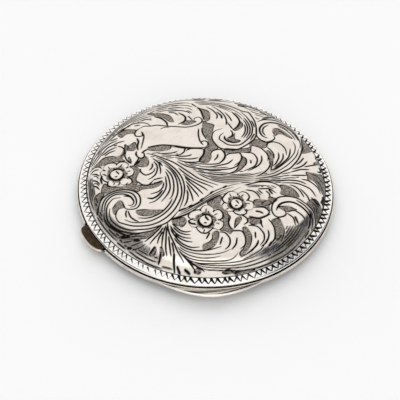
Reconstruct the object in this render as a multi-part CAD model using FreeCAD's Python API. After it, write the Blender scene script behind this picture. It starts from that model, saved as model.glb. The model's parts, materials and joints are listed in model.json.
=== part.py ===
import FreeCAD, Part
import math
import os

# A round hinged compact mirror in engraved silver, closed. The domed lid carries the main mirror,
# the shallow base carries a gilt liner, and a gilt leaf with a second mirror turns between them.
# Millimetres, +Z up, origin on the table at the centre of the rims, hinge towards +Y, thumb lip towards -Y.

# Shells
rim_diameter = 70.0         # of the base
lid_setback = 0.5           # lid's rim in from the base's, all round
parting_height = 4.2        # table to the plane where the two rims meet
rim_gap = 0.25              # daylight between the two rims
sheet = 0.7                 # silver sheet of both shells
edge_bevel = 0.2            # broken edge between a rim band and its border
border_width = 1.95         # sloping border round the lid, measured radially
border_rise = 0.7
base_border_width = 2.45    # the same round the base
base_border_rise = 1.1
lid_band = 0.35             # upright edge of the lid
base_band = 1.05            # upright edge of the base
crown_height = 6.6          # dome over the lid's border
crown_edge_slope = 12.0     # degrees, where the crown turns into the shoulder
shoulder_slope = 72.0       # degrees, where the lid's dome meets its border
base_shoulder_slope = 52.0  # the same under the base

# Hinge
hinge_length = 21.0
hinge_setback = 2.0         # pin axis in from the base rim's outer edge
hinge_drop = 0.3            # pin axis below the parting plane
knuckle_radius = 0.8
knuckle_gap = 0.2           # between neighbours along the pin
pin_radius = 0.4
pin_play = 0.03
barrel_play = 0.2           # lid rim to barrel
plate_play = 0.3            # hinge plates to barrel
plate_thickness = 0.6
plate_margin = 1.4          # hinge plates past each end of the barrel
web_thickness = 0.5
notch_margin = 0.4          # each end of the hinge cut-out in the base

# Thumb lip on the base
lip_span = 46.0             # degrees of rim
lip_reach = 2.2
lip_thickness = 0.8
lip_drop = 0.03             # below the base rim's top

# Bearer ring and snap catch
bezel_sheet = 0.7
bezel_inset = 1.4           # base wall's inside to the bearer ring's outside
bezel_stand = 0.2           # above the parting plane
bezel_hinge_margin = 0.6    # bearer ring's end to the hinge plate
catch_width = 5.0
catch_sheet = 0.4
catch_nib_radius = 0.25
catch_play = 0.1
catch_margin = 0.6          # bearer ring's end to the catch
tongue_width = 4.0
tongue_sheet = 0.5
tongue_depth = 0.7          # below the parting plane

# Gilt liner of the base
liner_sheet = 0.3
liner_wall = 0.6
liner_clearance = 0.7       # bearer ring to liner wall
liner_drop = 0.9            # liner wall's top below the parting plane

# Mirror in the lid
mirror_thickness = 1.0
mirror_inset = 2.75         # lid border's inner edge to the glass
mirror_bevel_width = 2.0
mirror_bevel_depth = 0.35
mirror_height = 1.65        # mirror's face above the parting plane
mirror_play = 0.2           # round the glass, inside its bezel
mirror_bezel_wall = 0.6
mirror_bezel_lip = 1.2      # cover over the glass's edge
mirror_bezel_sheet = 0.25
mirror_bezel_height = 1.3
packing_thickness = 1.6
packing_inset = 0.4

# Mirror leaf
leaf_clearance = 0.8        # bearer ring to leaf
leaf_drop = 0.7             # leaf's underside below the parting plane
leaf_thickness = 1.8
leaf_wall = 0.8
leaf_ledge = 1.6
leaf_sheet = 0.4            # ledge and back plate
leaf_glass_thickness = 0.7
leaf_glass_play = 0.15
leaf_flat_play = 0.35       # hinge plates to the flat at the back of the leaf
leaf_ring_width = 0.85
leaf_arm_sheet = 0.55
tab_bearing = 210.0         # degrees from +X, a third of a turn from the hinge
tab_width = 10.0
tab_reach = 2.2
tab_depth = 0.95
tab_nose = 0.45
tab_corner = 2.8
tab_top_drop = 0.2          # below the parting plane
tab_play = 0.4              # each side of the tab in the rim

# Places worked out from the sizes above
rim_radius = rim_diameter / 2
wall_radius = rim_radius - sheet
lid_radius = rim_radius - lid_setback
border_radius = lid_radius - edge_bevel - border_width
border_slope = math.degrees(math.atan2(border_rise, border_width))
base_border_radius = rim_radius - edge_bevel - base_border_width
base_border_slope = math.degrees(math.atan2(base_border_rise, base_border_width))
lid_foot = parting_height + rim_gap / 2
base_top = parting_height - rim_gap / 2
lid_border_top = lid_foot + lid_band + edge_bevel + border_rise
base_border_foot = base_top - base_band - edge_bevel - base_border_rise
hinge_y = rim_radius - hinge_setback
hinge_z = parting_height - hinge_drop
plate_outside = hinge_y - knuckle_radius - plate_play
plate_inside = plate_outside - plate_thickness
bezel_outside = wall_radius - bezel_inset
bezel_inside = bezel_outside - bezel_sheet
liner_radius = bezel_inside - liner_clearance
leaf_radius = bezel_inside - leaf_clearance
leaf_bottom = parting_height - leaf_drop
leaf_flat = plate_inside - leaf_flat_play
leaf_glass_radius = leaf_radius - leaf_wall - leaf_glass_play
tab_top = parting_height - tab_top_drop
mirror_face = parting_height + mirror_height
mirror_radius = border_radius - mirror_inset
plate_half = hinge_length / 2 + plate_margin
beyond = rim_diameter       # longer than anything that it cuts

origin = FreeCAD.Vector(0, 0, 0)
up = FreeCAD.Vector(0, 0, 1)
along_hinge = FreeCAD.Vector(1, 0, 0)


def section(r, z):
    return FreeCAD.Vector(r, 0, z)


def turned(start, steps, angle=360.0):
    # A solid of revolution: each step is a point for a straight run, or a (middle, end) pair for an arc.
    edges = []
    here = start
    for step in list(steps) + [start]:
        if isinstance(step, tuple):
            middle, end = step
            edges.append(Part.Arc(here, middle, end).toShape())
        else:
            end = step
            edges.append(Part.LineSegment(here, end).toShape())
        here = end
    return Part.Face(Part.Wire(edges)).revolve(origin, up, angle)


def disc(radius, low, high):
    return Part.makeCylinder(radius, high - low, FreeCAD.Vector(0, 0, low), up)


def ring(inside, outside, low, high):
    return disc(outside, low, high).cut(disc(inside, low, high))


def block(x, y, z):
    size = [high - low for low, high in (x, y, z)]
    return Part.makeBox(*size, FreeCAD.Vector(x[0], y[0], z[0]))


def arc_point(centre, radius, slope):
    # The point of an upward arc whose tangent falls outwards at the given slope in degrees.
    angle = math.radians(slope)
    return centre + section(radius * math.sin(angle), radius * math.cos(angle))


def lid_body(depth):
    # The lid as a closed solid whose outside lies at the given depth under the silver's face.
    crown, shoulder, border = (math.radians(a) for a in (crown_edge_slope, shoulder_slope, border_slope))
    lean = math.tan(crown / 2)
    turn = math.cos(crown) - math.cos(shoulder) - lean * (math.sin(shoulder) - math.sin(crown))
    shoulder_radius = (crown_height - border_radius * lean) / turn
    border_top = section(border_radius, lid_border_top)
    shoulder_centre = border_top - arc_point(section(0, 0), shoulder_radius, shoulder_slope)
    crown_start = arc_point(shoulder_centre, shoulder_radius, crown_edge_slope)
    crown_radius = crown_start.x / math.sin(crown)
    crown_centre = section(0, crown_start.z - crown_radius * math.cos(crown))
    sunk = shoulder_radius - depth
    flat = crown_radius - depth
    rim = [section(lid_radius, lid_foot), section(lid_radius, lid_foot + lid_band),
           section(lid_radius - edge_bevel, lid_foot + lid_band + edge_bevel), border_top]
    if depth:
        normal = section(math.sin(border), math.cos(border))
        rim = [section(lid_radius - depth, lid_foot), border_top - normal * depth,
               arc_point(shoulder_centre, sunk, shoulder_slope)]
    half_way = (crown_edge_slope + shoulder_slope) / 2
    return turned(section(0, lid_foot), rim + [
        (arc_point(shoulder_centre, sunk, half_way), arc_point(shoulder_centre, sunk, crown_edge_slope)),
        (arc_point(crown_centre, flat, crown_edge_slope / 2), arc_point(crown_centre, flat, 0))])


def base_body(depth):
    # The base as a closed solid whose outside lies at the given depth inside the silver's face.
    shoulder, border = (math.radians(a) for a in (base_shoulder_slope, base_border_slope))
    shoulder_radius = base_border_foot / (1 - math.cos(shoulder))
    foot_radius = base_border_radius - shoulder_radius * math.sin(shoulder)
    centre = section(foot_radius, shoulder_radius)
    bowl = shoulder_radius - depth

    def bowl_point(slope):
        angle = math.radians(slope)
        return centre + section(bowl * math.sin(angle), -bowl * math.cos(angle))

    rim = [section(rim_radius - edge_bevel, base_border_foot + base_border_rise),
           section(rim_radius, base_top - base_band), section(rim_radius, base_top)]
    if depth:
        normal = section(-math.sin(border), math.cos(border))
        inner = section(base_border_radius, base_border_foot) + normal * depth
        rise = (rim_radius - depth - inner.x) * math.tan(border)
        rim = [inner, section(rim_radius - depth, inner.z + rise), section(rim_radius - depth, base_top)]
    floor = [section(foot_radius, depth), (bowl_point(base_shoulder_slope / 2), bowl_point(base_shoulder_slope))]
    return turned(section(0, depth), floor + rim + [section(0, base_top)])


def barrel(radius, low, high):
    start = FreeCAD.Vector(low, hinge_y, hinge_z)
    return Part.makeCylinder(radius, high - low, start, along_hinge)


def knuckle_places(owner):
    # The stretches of the pin that an owner's knuckles hold, in order from one end to the other.
    order = ["base", "lid", "leaf", "base", "leaf", "lid", "base"]
    length = (hinge_length - knuckle_gap * (len(order) - 1)) / len(order)
    starts = [-hinge_length / 2 + i * (length + knuckle_gap) for i in range(len(order))]
    return [(low, low + length) for low, name in zip(starts, order) if name == owner]


def knuckles(owner, carrier_y, low, high):
    # An owner's tubes, each with a web back to the plate or leaf that carries it.
    tubes = []
    for x in knuckle_places(owner):
        web = block(x, (carrier_y, hinge_y), (low, high))
        tube = barrel(knuckle_radius, *x).fuse(web).removeSplitter()
        tubes.append(tube.cut(barrel(pin_radius + pin_play, *x)))
    return Part.makeCompound(tubes)


def hinge_plate(cavity):
    # A flat strip that closes the hinge cut-out, trimmed to the inside of its shell.
    return block((-plate_half, plate_half), (plate_inside, plate_outside), (0, beyond)).common(cavity)


def on_bearing(shape, bearing):
    return shape.rotated(origin, up, bearing)


def tab_slot(low, high, margin):
    # A straight radial passage for the leaf's tab.
    half = tab_width / 2 + margin
    return on_bearing(block((leaf_radius, rim_radius + tab_reach), (-half, half), (low, high)), tab_bearing)


def lid_shell():
    end = hinge_length / 2 + barrel_play
    swept = barrel(knuckle_radius + barrel_play, -end, end)
    return lid_body(0).cut(lid_body(sheet)).cut(swept)


def base_shell():
    half = hinge_length / 2 + barrel_play + notch_margin
    cut_out = block((-half, half), (plate_outside, beyond), (0, beyond))
    notch = tab_slot(tab_top - tab_depth - tab_play / 2, beyond, tab_play)
    return base_body(0).cut(base_body(sheet)).cut(cut_out).cut(notch)


def thumb_lip():
    # A round-edged disc set forward of the rim, with the rim's own circle taken out of it.
    half_span = math.radians(lip_span / 2)
    half_chord = rim_radius * math.sin(half_span)
    bow = rim_radius + lip_reach - rim_radius * math.cos(half_span)
    radius = (half_chord ** 2 + bow ** 2) / (2 * bow)
    top = base_top - lip_drop
    edge = lip_thickness / 2
    plate = turned(section(0, top - lip_thickness), [
        section(radius - edge, top - lip_thickness),
        (section(radius, top - edge), section(radius - edge, top)), section(0, top)])
    plate.translate(FreeCAD.Vector(0, radius - rim_radius - lip_reach, 0))
    return plate.cut(disc(rim_radius, 0, beyond))


def base_bezel():
    whole = ring(bezel_inside, bezel_outside, 0, base_top).common(base_body(sheet))
    stand = ring(bezel_inside, bezel_outside, base_top, parting_height + bezel_stand)
    whole = whole.fuse(stand).removeSplitter()
    hinge_half = plate_half + bezel_hinge_margin
    catch_half = catch_width / 2 + catch_margin
    whole = whole.cut(block((-hinge_half, hinge_half), (0, beyond), (0, beyond)))
    whole = whole.cut(block((-catch_half, catch_half), (-beyond, 0), (0, beyond)))
    return whole.cut(tab_slot(0, beyond, tab_play))


def base_liner():
    wall_top = parting_height - liner_drop
    skin = base_body(sheet).cut(base_body(sheet + liner_sheet)).common(disc(liner_radius, 0, wall_top))
    wall = ring(liner_radius - liner_wall, liner_radius, 0, wall_top).common(base_body(sheet))
    back = block((-beyond, beyond), (plate_inside, beyond), (0, beyond))
    return skin.fuse(wall).removeSplitter().cut(back)


def base_hinge_plate():
    plate = hinge_plate(base_body(sheet))
    arm_foot = leaf_bottom - tab_play / 2
    for low, high in knuckle_places("leaf"):
        x = (low - knuckle_gap, high + knuckle_gap)
        plate = plate.cut(block(x, (0, beyond), (arm_foot, beyond)))
    return plate


def base_knuckles():
    low = hinge_z - knuckle_radius + barrel_play / 2
    return knuckles("base", plate_outside, low, low + web_thickness)


def hinge_pin():
    return barrel(pin_radius, -hinge_length / 2, hinge_length / 2)


def catch_spring():
    half = catch_width / 2
    y = (-bezel_outside, -bezel_outside + catch_sheet)
    top = parting_height + bezel_stand
    strip = block((-half, half), y, (0, base_top)).common(base_body(sheet))
    strip = strip.fuse(block((-half, half), y, (base_top, top)))
    bead = Part.makeCylinder(catch_nib_radius, catch_width, FreeCAD.Vector(-half, y[0], hinge_z), along_hinge)
    return strip.fuse(bead).removeSplitter()


def lid_catch():
    half = tongue_width / 2
    near = bezel_outside + catch_nib_radius + catch_play
    y = (-near - tongue_sheet, -near)
    tongue = block((-half, half), y, (parting_height - tongue_depth, lid_foot))
    return tongue.fuse(block((-half, half), y, (lid_foot, beyond)).common(lid_body(sheet))).removeSplitter()


def lid_hinge_plate():
    return hinge_plate(lid_body(sheet))


def lid_knuckles():
    return knuckles("lid", plate_outside, lid_foot, lid_foot + web_thickness).cut(lid_shell())


def mirror_bezel():
    low = mirror_face - mirror_bezel_sheet
    inside = mirror_radius + mirror_play
    lip = ring(mirror_radius - mirror_bezel_lip, rim_radius, low, mirror_face)
    wall = ring(inside, inside + mirror_bezel_wall, mirror_face, low + mirror_bezel_height)
    behind = block((-beyond, beyond), (plate_inside, beyond), (0, beyond))
    return lip.fuse(wall).removeSplitter().common(lid_body(sheet)).cut(behind)


def mirror_glass():
    # The ground bevel runs round the face that looks out of the lid.
    back = mirror_face + mirror_thickness
    return turned(section(0, mirror_face), [
        section(mirror_radius - mirror_bevel_width, mirror_face),
        section(mirror_radius, mirror_face + mirror_bevel_depth),
        section(mirror_radius, back), section(0, back)])


def mirror_packing():
    low = mirror_face + mirror_thickness
    return disc(mirror_radius - packing_inset, low, low + packing_thickness).common(lid_body(sheet))


def leaf_flat_cut(shape):
    return shape.cut(block((-beyond, beyond), (leaf_flat, beyond), (-beyond, beyond)))


def leaf_frame():
    inside = leaf_radius - leaf_wall
    wall = ring(inside, leaf_radius, leaf_bottom, leaf_bottom + leaf_thickness)
    ledge = ring(inside - leaf_ledge, inside, leaf_bottom, leaf_bottom + leaf_sheet)
    return leaf_flat_cut(wall.fuse(ledge).removeSplitter())


def leaf_back_plate():
    low = leaf_bottom + leaf_sheet
    return disc(leaf_glass_radius, low, low + leaf_sheet)


def leaf_glass():
    low = leaf_bottom + 2 * leaf_sheet
    return disc(leaf_glass_radius, low, low + leaf_glass_thickness)


def leaf_retaining_ring():
    low = leaf_bottom + 2 * leaf_sheet + leaf_glass_thickness
    return ring(leaf_glass_radius - leaf_ring_width, leaf_glass_radius, low, leaf_bottom + leaf_thickness)


def leaf_knuckles():
    return knuckles("leaf", leaf_flat, leaf_bottom, leaf_bottom + leaf_arm_sheet)


def leaf_tab():
    # A round-nosed lip on a thin arm, concentric with the rim, with its outer corners rounded off.
    tip = rim_radius + tab_reach
    low = tab_top - tab_depth
    step = rim_radius + tab_play
    arm = leaf_bottom
    profile = turned(section(leaf_radius, arm), [
        section(step, arm), section(step, low), section(tip - tab_nose, low),
        (section(tip, (low + tab_top) / 2), section(tip - tab_nose, tab_top)), section(leaf_radius, tab_top)])
    half = tab_width / 2
    plan = block((leaf_radius - leaf_wall, tip), (-half, half), (0, beyond))
    upright = [edge for edge in plan.Edges if edge.BoundBox.ZLength > tab_depth]
    corners = [edge for edge in upright if edge.CenterOfMass.x > rim_radius]
    return profile.common(on_bearing(plan.makeFillet(tab_corner, corners), tab_bearing))


makers = [base_shell, thumb_lip, base_bezel, base_liner, base_hinge_plate, base_knuckles, hinge_pin,
          catch_spring, lid_shell, lid_hinge_plate, lid_knuckles, lid_catch, mirror_bezel, mirror_glass,
          mirror_packing, leaf_frame, leaf_back_plate, leaf_glass, leaf_retaining_ring, leaf_knuckles,
          leaf_tab]


def main():
    os.makedirs("parts", exist_ok=True)
    for maker in makers:
        shape = maker()
        print(maker.__name__, len(shape.Solids), "solids", round(shape.Volume, 2), "mm3", shape.isValid())
        shape.exportStep(os.path.join("parts", maker.__name__ + ".step"))


main()
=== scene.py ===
import json
import math

import bpy
import numpy as np
from mathutils import Matrix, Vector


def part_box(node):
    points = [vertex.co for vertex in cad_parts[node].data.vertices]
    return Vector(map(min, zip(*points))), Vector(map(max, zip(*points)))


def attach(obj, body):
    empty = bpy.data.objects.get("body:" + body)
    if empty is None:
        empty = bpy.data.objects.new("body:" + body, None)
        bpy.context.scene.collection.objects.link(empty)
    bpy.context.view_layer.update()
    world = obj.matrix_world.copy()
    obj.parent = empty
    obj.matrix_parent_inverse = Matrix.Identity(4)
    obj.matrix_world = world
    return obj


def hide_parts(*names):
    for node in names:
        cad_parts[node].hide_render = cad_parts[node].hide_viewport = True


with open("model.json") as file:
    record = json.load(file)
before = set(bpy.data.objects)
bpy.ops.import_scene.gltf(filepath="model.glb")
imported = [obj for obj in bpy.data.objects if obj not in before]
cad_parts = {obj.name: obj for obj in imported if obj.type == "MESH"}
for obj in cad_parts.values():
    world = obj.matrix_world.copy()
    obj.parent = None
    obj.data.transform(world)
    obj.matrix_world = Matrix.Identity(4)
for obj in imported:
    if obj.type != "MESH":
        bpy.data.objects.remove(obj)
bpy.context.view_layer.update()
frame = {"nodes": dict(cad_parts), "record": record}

mm = 0.001                # the frame is in metres, the dictionaries below are in millimetres
scene = bpy.context.scene
scene.view_settings.view_transform = "Standard"
print("frame loaded:", len(frame["nodes"]), "CAD nodes")


def boxOf(node):
    # lowest and highest corner of a CAD node, in millimetres
    low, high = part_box(node)
    return np.array(low) / mm, np.array(high) / mm


def linked(name, data):
    piece = bpy.data.objects.new(name, data)
    scene.collection.objects.link(piece)
    return piece


def surfacePiece(name, points, quads, material, body, others=(), values=None, normals=None):
    # points in mm, quads as an index array, others as lists of longer faces, values as point attributes
    mesh = bpy.data.meshes.new(name)
    mesh.from_pydata((points * mm).tolist(), [], quads.tolist() + [list(face) for face in others])
    mesh.polygons.foreach_set("use_smooth", np.ones(len(mesh.polygons), bool))
    for key, value in (values or {}).items():
        mesh.attributes.new(key, "FLOAT", "POINT").data.foreach_set("value", value.astype(np.float32).ravel())
    mesh.materials.append(material)
    mesh.update()
    if normals is not None:
        mesh.normals_split_custom_set_from_vertices(normals.tolist())
    piece = linked(name, mesh)
    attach(piece, body)
    print("piece", name, len(quads), "quads")
    return piece


# Camera fitted to the rim's ellipse in the photograph
view = {
    "elevation": 47.78,       # degrees above the table
    "bearing": -94.5,         # plan direction from the rim's centre to the camera
    "distance": 327.4,        # from the rim's centre
    "roll": 2.88,             # degrees
    "focalPixels": 1200.0,
    "imagePixels": 400.0,
    "rimPixel": (205.9, 186.2),
    "sensor": 36.0,
}


def makeCamera():
    tilt, bearing, roll = np.radians([view["elevation"], view["bearing"], view["roll"]])
    back = np.array([math.cos(tilt) * math.cos(bearing), math.cos(tilt) * math.sin(bearing), math.sin(tilt)])
    side = np.array([-math.sin(bearing), math.cos(bearing), 0])
    rise = np.cross(back, side)
    right = math.cos(roll) * side + math.sin(roll) * rise
    top = math.cos(roll) * rise - math.sin(roll) * side
    rimCentre = np.array([0, 0, boxOf("lid_shell")[0][2]])
    place = rimCentre + back * view["distance"]
    perPixel = view["distance"] / view["focalPixels"]
    offX, offY = np.array(view["rimPixel"]) - view["imagePixels"] / 2
    aim = rimCentre - right * offX * perPixel + top * offY * perPixel    # what the picture's centre shows
    axis = (place - aim) / np.linalg.norm(place - aim)
    right = np.cross(top, axis) / np.linalg.norm(np.cross(top, axis))
    lens = bpy.data.cameras.new("camera")
    lens.sensor_width = view["sensor"]
    lens.lens = view["sensor"] * view["focalPixels"] / view["imagePixels"]
    lens.clip_start = 0.01
    lens.clip_end = 20
    camera = linked("camera", lens)
    turn = np.eye(4)
    turn[:3] = np.column_stack([right, np.cross(axis, right), axis, place * mm])
    camera.matrix_world = Matrix(turn.tolist())
    scene.camera = camera


makeCamera()
print("camera set")


def add(tree, kind, inputs=None, **settings):
    # one shader node: settings first, then its inputs, each a value or a socket to link from
    node = tree.nodes.new("ShaderNode" + kind)
    for key, value in settings.items():
        setattr(node, key, value)
    for key, value in (inputs or {}).items():
        if isinstance(value, bpy.types.NodeSocket):
            tree.links.new(value, node.inputs[key])
        else:
            node.inputs[key].default_value = value
    return node


def mixColour(tree, share, a, b):
    # colour that goes from a to b with share
    return add(tree, "Mix", {0: share, 6: a, 7: b}, data_type="RGBA").outputs[2]


def mixValue(tree, share, a, b):
    return add(tree, "Mix", {0: share, 2: a, 3: b}, data_type="FLOAT").outputs[0]


def spread(tree, value, low, high, toLow=0.0, toHigh=1.0):
    # value taken smoothly from the range low to high into another one
    inputs = {0: value, 1: low, 2: high, 3: toLow, 4: toHigh}
    return add(tree, "MapRange", inputs, interpolation_type="SMOOTHSTEP").outputs[0]


# White table in a soft white room, with darker corners beside the camera for the shoulders to mirror
studio = {
    "tableHalf": 900.0,
    "tableColour": (0.93, 0.93, 0.93, 1),
    "tableSeen": (1.13, 1.145, 1.16, 1),    # to the camera and in the metal, so that it looks white
    "room": (1.0, 0.985, 0.965, 1),
    "patches": [                     # way, colour, degrees where it starts and where it is full
        ((0.0, -0.5, 0.87), (1.5, 1.49, 1.47, 1), (32.0, 20.0)),
        ((-0.80, -0.16, 0.58), (0.05, 0.058, 0.08, 1), (30.0, 19.0)),
        ((0.88, -0.10, 0.42), (0.05, 0.058, 0.08, 1), (34.0, 23.0)),
        ((-0.70, 0.05, 0.71), (0.05, 0.058, 0.08, 1), (18.0, 11.0)),
        ((-0.62, -0.15, 0.77), (0.05, 0.058, 0.08, 1), (15.0, 8.0)),
        ((0.66, -0.08, 0.74), (0.05, 0.058, 0.08, 1), (24.0, 15.0)),
    ],
}


def makeStudio():
    half = studio["tableHalf"] * mm
    mesh = bpy.data.meshes.new("table")
    corners = [(-half, -half, 0), (half, -half, 0), (half, half, 0), (-half, half, 0)]
    mesh.from_pydata(corners, [], [(0, 1, 2, 3)])
    table = linked("table", mesh)
    paint = bpy.data.materials.new("whiteTable")
    paint.use_nodes = True
    paper = paint.node_tree
    rays = add(paper, "LightPath").outputs
    seen = rays["Is Camera Ray"]
    for ray in ("Is Glossy Ray", "Is Transmission Ray"):
        seen = add(paper, "Math", {0: seen, 1: rays[ray]}, operation="MAXIMUM").outputs[0]
    colour = mixColour(paper, seen, studio["tableColour"], studio["tableSeen"])
    matt = add(paper, "BsdfDiffuse", {"Color": colour}).outputs[0]
    paper.links.new(matt, paper.nodes["Material Output"].inputs["Surface"])
    mesh.materials.append(paint)
    world = bpy.data.worlds.new("room")
    scene.world = world
    world.use_nodes = True
    tree = world.node_tree
    way = add(tree, "TexCoord").outputs["Generated"]
    colour = studio["room"]
    for direction, tint, edges in studio["patches"]:
        direction = np.array(direction) / np.linalg.norm(direction)
        facing = add(tree, "VectorMath", {0: way, 1: direction}, operation="DOT_PRODUCT").outputs["Value"]
        share = spread(tree, facing, *np.cos(np.radians(edges)))
        colour = mixColour(tree, share, colour, tint)
    colour = mixColour(tree, add(tree, "LightPath").outputs["Is Camera Ray"], colour, (1, 1, 1, 1))
    tree.links.new(colour, tree.nodes["Background"].inputs["Color"])


makeStudio()
print("table and room made")


def effectGroup(name, inputs, outputs):
    # an empty shader group with named sockets: inputs as (name, kind, default), outputs as (name, kind)
    group = bpy.data.node_groups.new(name, "ShaderNodeTree")
    for socket, kind, default in inputs:
        made = group.interface.new_socket(socket, in_out="INPUT", socket_type="NodeSocket" + kind)
        made.default_value = default
    for socket, kind in outputs:
        group.interface.new_socket(socket, in_out="OUTPUT", socket_type="NodeSocket" + kind)
    return group, group.nodes.new("NodeGroupInput"), group.nodes.new("NodeGroupOutput")


def wearEffect():
    # hair scratches at two slants, from stretched noise, and soft smudges from handling
    inputs = [("Scratch Scale", "Float", 900.0), ("Smudge Scale", "Float", 150.0)]
    group, given, out = effectGroup("handlingWear", inputs, [("Scratch", "Float"), ("Smudge", "Float")])
    place = add(group, "TexCoord").outputs["Object"]
    lines = []
    for slant in (0.5, 2.1):
        inputs = {"Vector": place, "Rotation": (0.3, 0.2, slant), "Scale": (1, 0.03, 1)}
        turned = add(group, "Mapping", inputs).outputs[0]
        inputs = {"Vector": turned, "Scale": given.outputs["Scratch Scale"], "Detail": 1.0}
        lines.append(spread(group, add(group, "TexNoise", inputs).outputs[0], 0.64, 0.72))
    both = add(group, "Math", {0: lines[0], 1: lines[1]}, operation="MAXIMUM").outputs[0]
    inputs = {"Vector": place, "Scale": given.outputs["Smudge Scale"], "Detail": 4.0, "Roughness": 0.6}
    cloud = spread(group, add(group, "TexNoise", inputs).outputs[0], 0.35, 0.68)
    group.links.new(both, out.inputs["Scratch"])
    group.links.new(cloud, out.inputs["Smudge"])
    return group


def tarnishEffect():
    # the clean colour goes towards a stained one in soft patches
    inputs = [("Clean", "Color", (0.8, 0.8, 0.8, 1)), ("Stained", "Color", (0.3, 0.3, 0.3, 1)),
              ("Amount", "Float", 0.3), ("Patch Scale", "Float", 220.0)]
    group, given, out = effectGroup("tarnish", inputs, [("Colour", "Color")])
    place = add(group, "TexCoord").outputs["Object"]
    inputs = {"Vector": place, "Scale": given.outputs["Patch Scale"], "Detail": 6.0, "Roughness": 0.62}
    patch = spread(group, add(group, "TexNoise", inputs).outputs[0], 0.38, 0.75)
    share = add(group, "Math", {0: patch, 1: given.outputs["Amount"]}, operation="MULTIPLY").outputs[0]
    colour = mixColour(group, share, given.outputs["Clean"], given.outputs["Stained"])
    group.links.new(colour, out.inputs["Colour"])
    return group


wear = wearEffect()
tarnish = tarnishEffect()


def placed(tree, group, inputs):
    # a shared effect placed in a material with its own values
    node = tree.nodes.new("ShaderNodeGroup")
    node.node_tree = group
    for key, value in inputs.items():
        node.inputs[key].default_value = value
    return node.outputs


def metalFinish(name, look):
    # a metal with patchy tarnish, smudged gloss and hair scratches; look holds its own values
    material = bpy.data.materials.new(name)
    material.use_nodes = True
    tree = material.node_tree
    shader = tree.nodes["Principled BSDF"]
    shader.inputs["Metallic"].default_value = 1.0
    inputs = {"Clean": look["clean"], "Stained": look["stained"], "Amount": look["tarnish"],
              "Patch Scale": look["patchScale"]}
    colour = placed(tree, tarnish, inputs)["Colour"]
    marks = placed(tree, wear, {"Scratch Scale": look["scratchScale"], "Smudge Scale": look["smudgeScale"]})
    gloss = mixValue(tree, marks["Smudge"], *look["roughness"])
    height = add(tree, "Math", {0: marks["Scratch"], 1: -1.0}, operation="MULTIPLY").outputs[0]
    return material, tree, shader, colour, gloss, height


engravedLook = {
    "clean": (0.86, 0.81, 0.75, 1),
    "stained": (0.55, 0.48, 0.41, 1),
    "tarnish": 0.35,
    "patchScale": 260.0,
    "scratchScale": 900.0,
    "smudgeScale": 190.0,
    "roughness": (0.10, 0.2),
    # matted ground, also used for painted shade under the lid's rim and painted reflection on the shoulders
    "groundAndShadeDark": (0.13, 0.114, 0.1, 1),
    "groundAndShadeLight": (0.43, 0.385, 0.34, 1),
    "groundRoughness": 0.5,
    "stippleScale": 2900.0,
    "cut": (0.012, 0.0105, 0.0095, 1),
    "cutRoughness": 0.6,
    "stippleDepth": 0.04,
    "waveScale": 420.0,       # slow hand-worked unevenness of the polished face
    "waveDepth": 0.05,
    "scratchDepth": 0.002,
}


# The border is painted whiter than the crown, a painted highlight for its brighter reflection
borderHighlightLook = dict(engravedLook, clean=(0.98, 0.965, 0.945, 1), stained=(0.78, 0.73, 0.67, 1), tarnish=0.3)


def engravedSilver(name, look):
    # bright lands, stippled grey-brown ground and near-black cuts, told apart by the point attributes; the
    # ground's colour also serves as painted shade under the lid's rim and painted reflection on the shoulders
    material, tree, shader, colour, gloss, height = metalFinish(name, look)
    cut = add(tree, "Attribute", attribute_name="cut").outputs["Fac"]
    mattingAndPaintedShade = add(tree, "Attribute", attribute_name="mattingAndPaintedShade").outputs["Fac"]
    place = add(tree, "TexCoord").outputs["Object"]
    inputs = {"Vector": place, "Scale": look["stippleScale"], "Detail": 2.0}
    stipple = spread(tree, add(tree, "TexNoise", inputs).outputs[0], 0.36, 0.64)
    matteAndShadeTone = mixColour(tree, stipple, look["groundAndShadeDark"], look["groundAndShadeLight"])
    colour = mixColour(tree, mattingAndPaintedShade, colour, matteAndShadeTone)
    colour = mixColour(tree, cut, colour, look["cut"])
    gloss = mixValue(tree, mattingAndPaintedShade, gloss, look["groundRoughness"])
    gloss = mixValue(tree, cut, gloss, look["cutRoughness"])
    tree.links.new(colour, shader.inputs["Base Color"])
    tree.links.new(gloss, shader.inputs["Roughness"])
    dents = add(tree, "Math", {0: stipple, 1: mattingAndPaintedShade}, operation="MULTIPLY").outputs[0]
    inputs = {"Height": dents, "Distance": look["stippleDepth"] * mm, "Strength": 1.0}
    rough = add(tree, "Bump", inputs).outputs[0]
    wave = add(tree, "TexNoise", {"Vector": place, "Scale": look["waveScale"], "Detail": 1.0}).outputs[0]
    inputs = {"Height": wave, "Distance": look["waveDepth"] * mm, "Strength": 1.0, "Normal": rough}
    uneven = add(tree, "Bump", inputs).outputs[0]
    inputs = {"Height": height, "Distance": look["scratchDepth"] * mm, "Strength": 1.0, "Normal": uneven}
    tree.links.new(add(tree, "Bump", inputs).outputs[0], shader.inputs["Normal"])
    return material


plainLook = {
    "clean": (0.84, 0.80, 0.75, 1),
    "stained": (0.42, 0.37, 0.32, 1),
    "tarnish": 0.5,
    "patchScale": 150.0,
    "scratchScale": 600.0,
    "smudgeScale": 110.0,
    "roughness": (0.14, 0.34),
    "scratchDepth": 0.003,
}
giltLook = {
    "clean": (0.62, 0.43, 0.24, 1),
    "stained": (0.27, 0.16, 0.085, 1),
    "tarnish": 0.75,
    "patchScale": 240.0,
    "scratchScale": 500.0,
    "smudgeScale": 130.0,
    "roughness": (0.26, 0.5),
    "scratchDepth": 0.004,
}
mirrorLook = {
    "clean": (0.9, 0.92, 0.92, 1),
    "stained": (0.8, 0.81, 0.8, 1),
    "tarnish": 0.15,
    "patchScale": 90.0,
    "scratchScale": 400.0,
    "smudgeScale": 70.0,
    "roughness": (0.015, 0.05),
    "scratchDepth": 0.0004,
}


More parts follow.
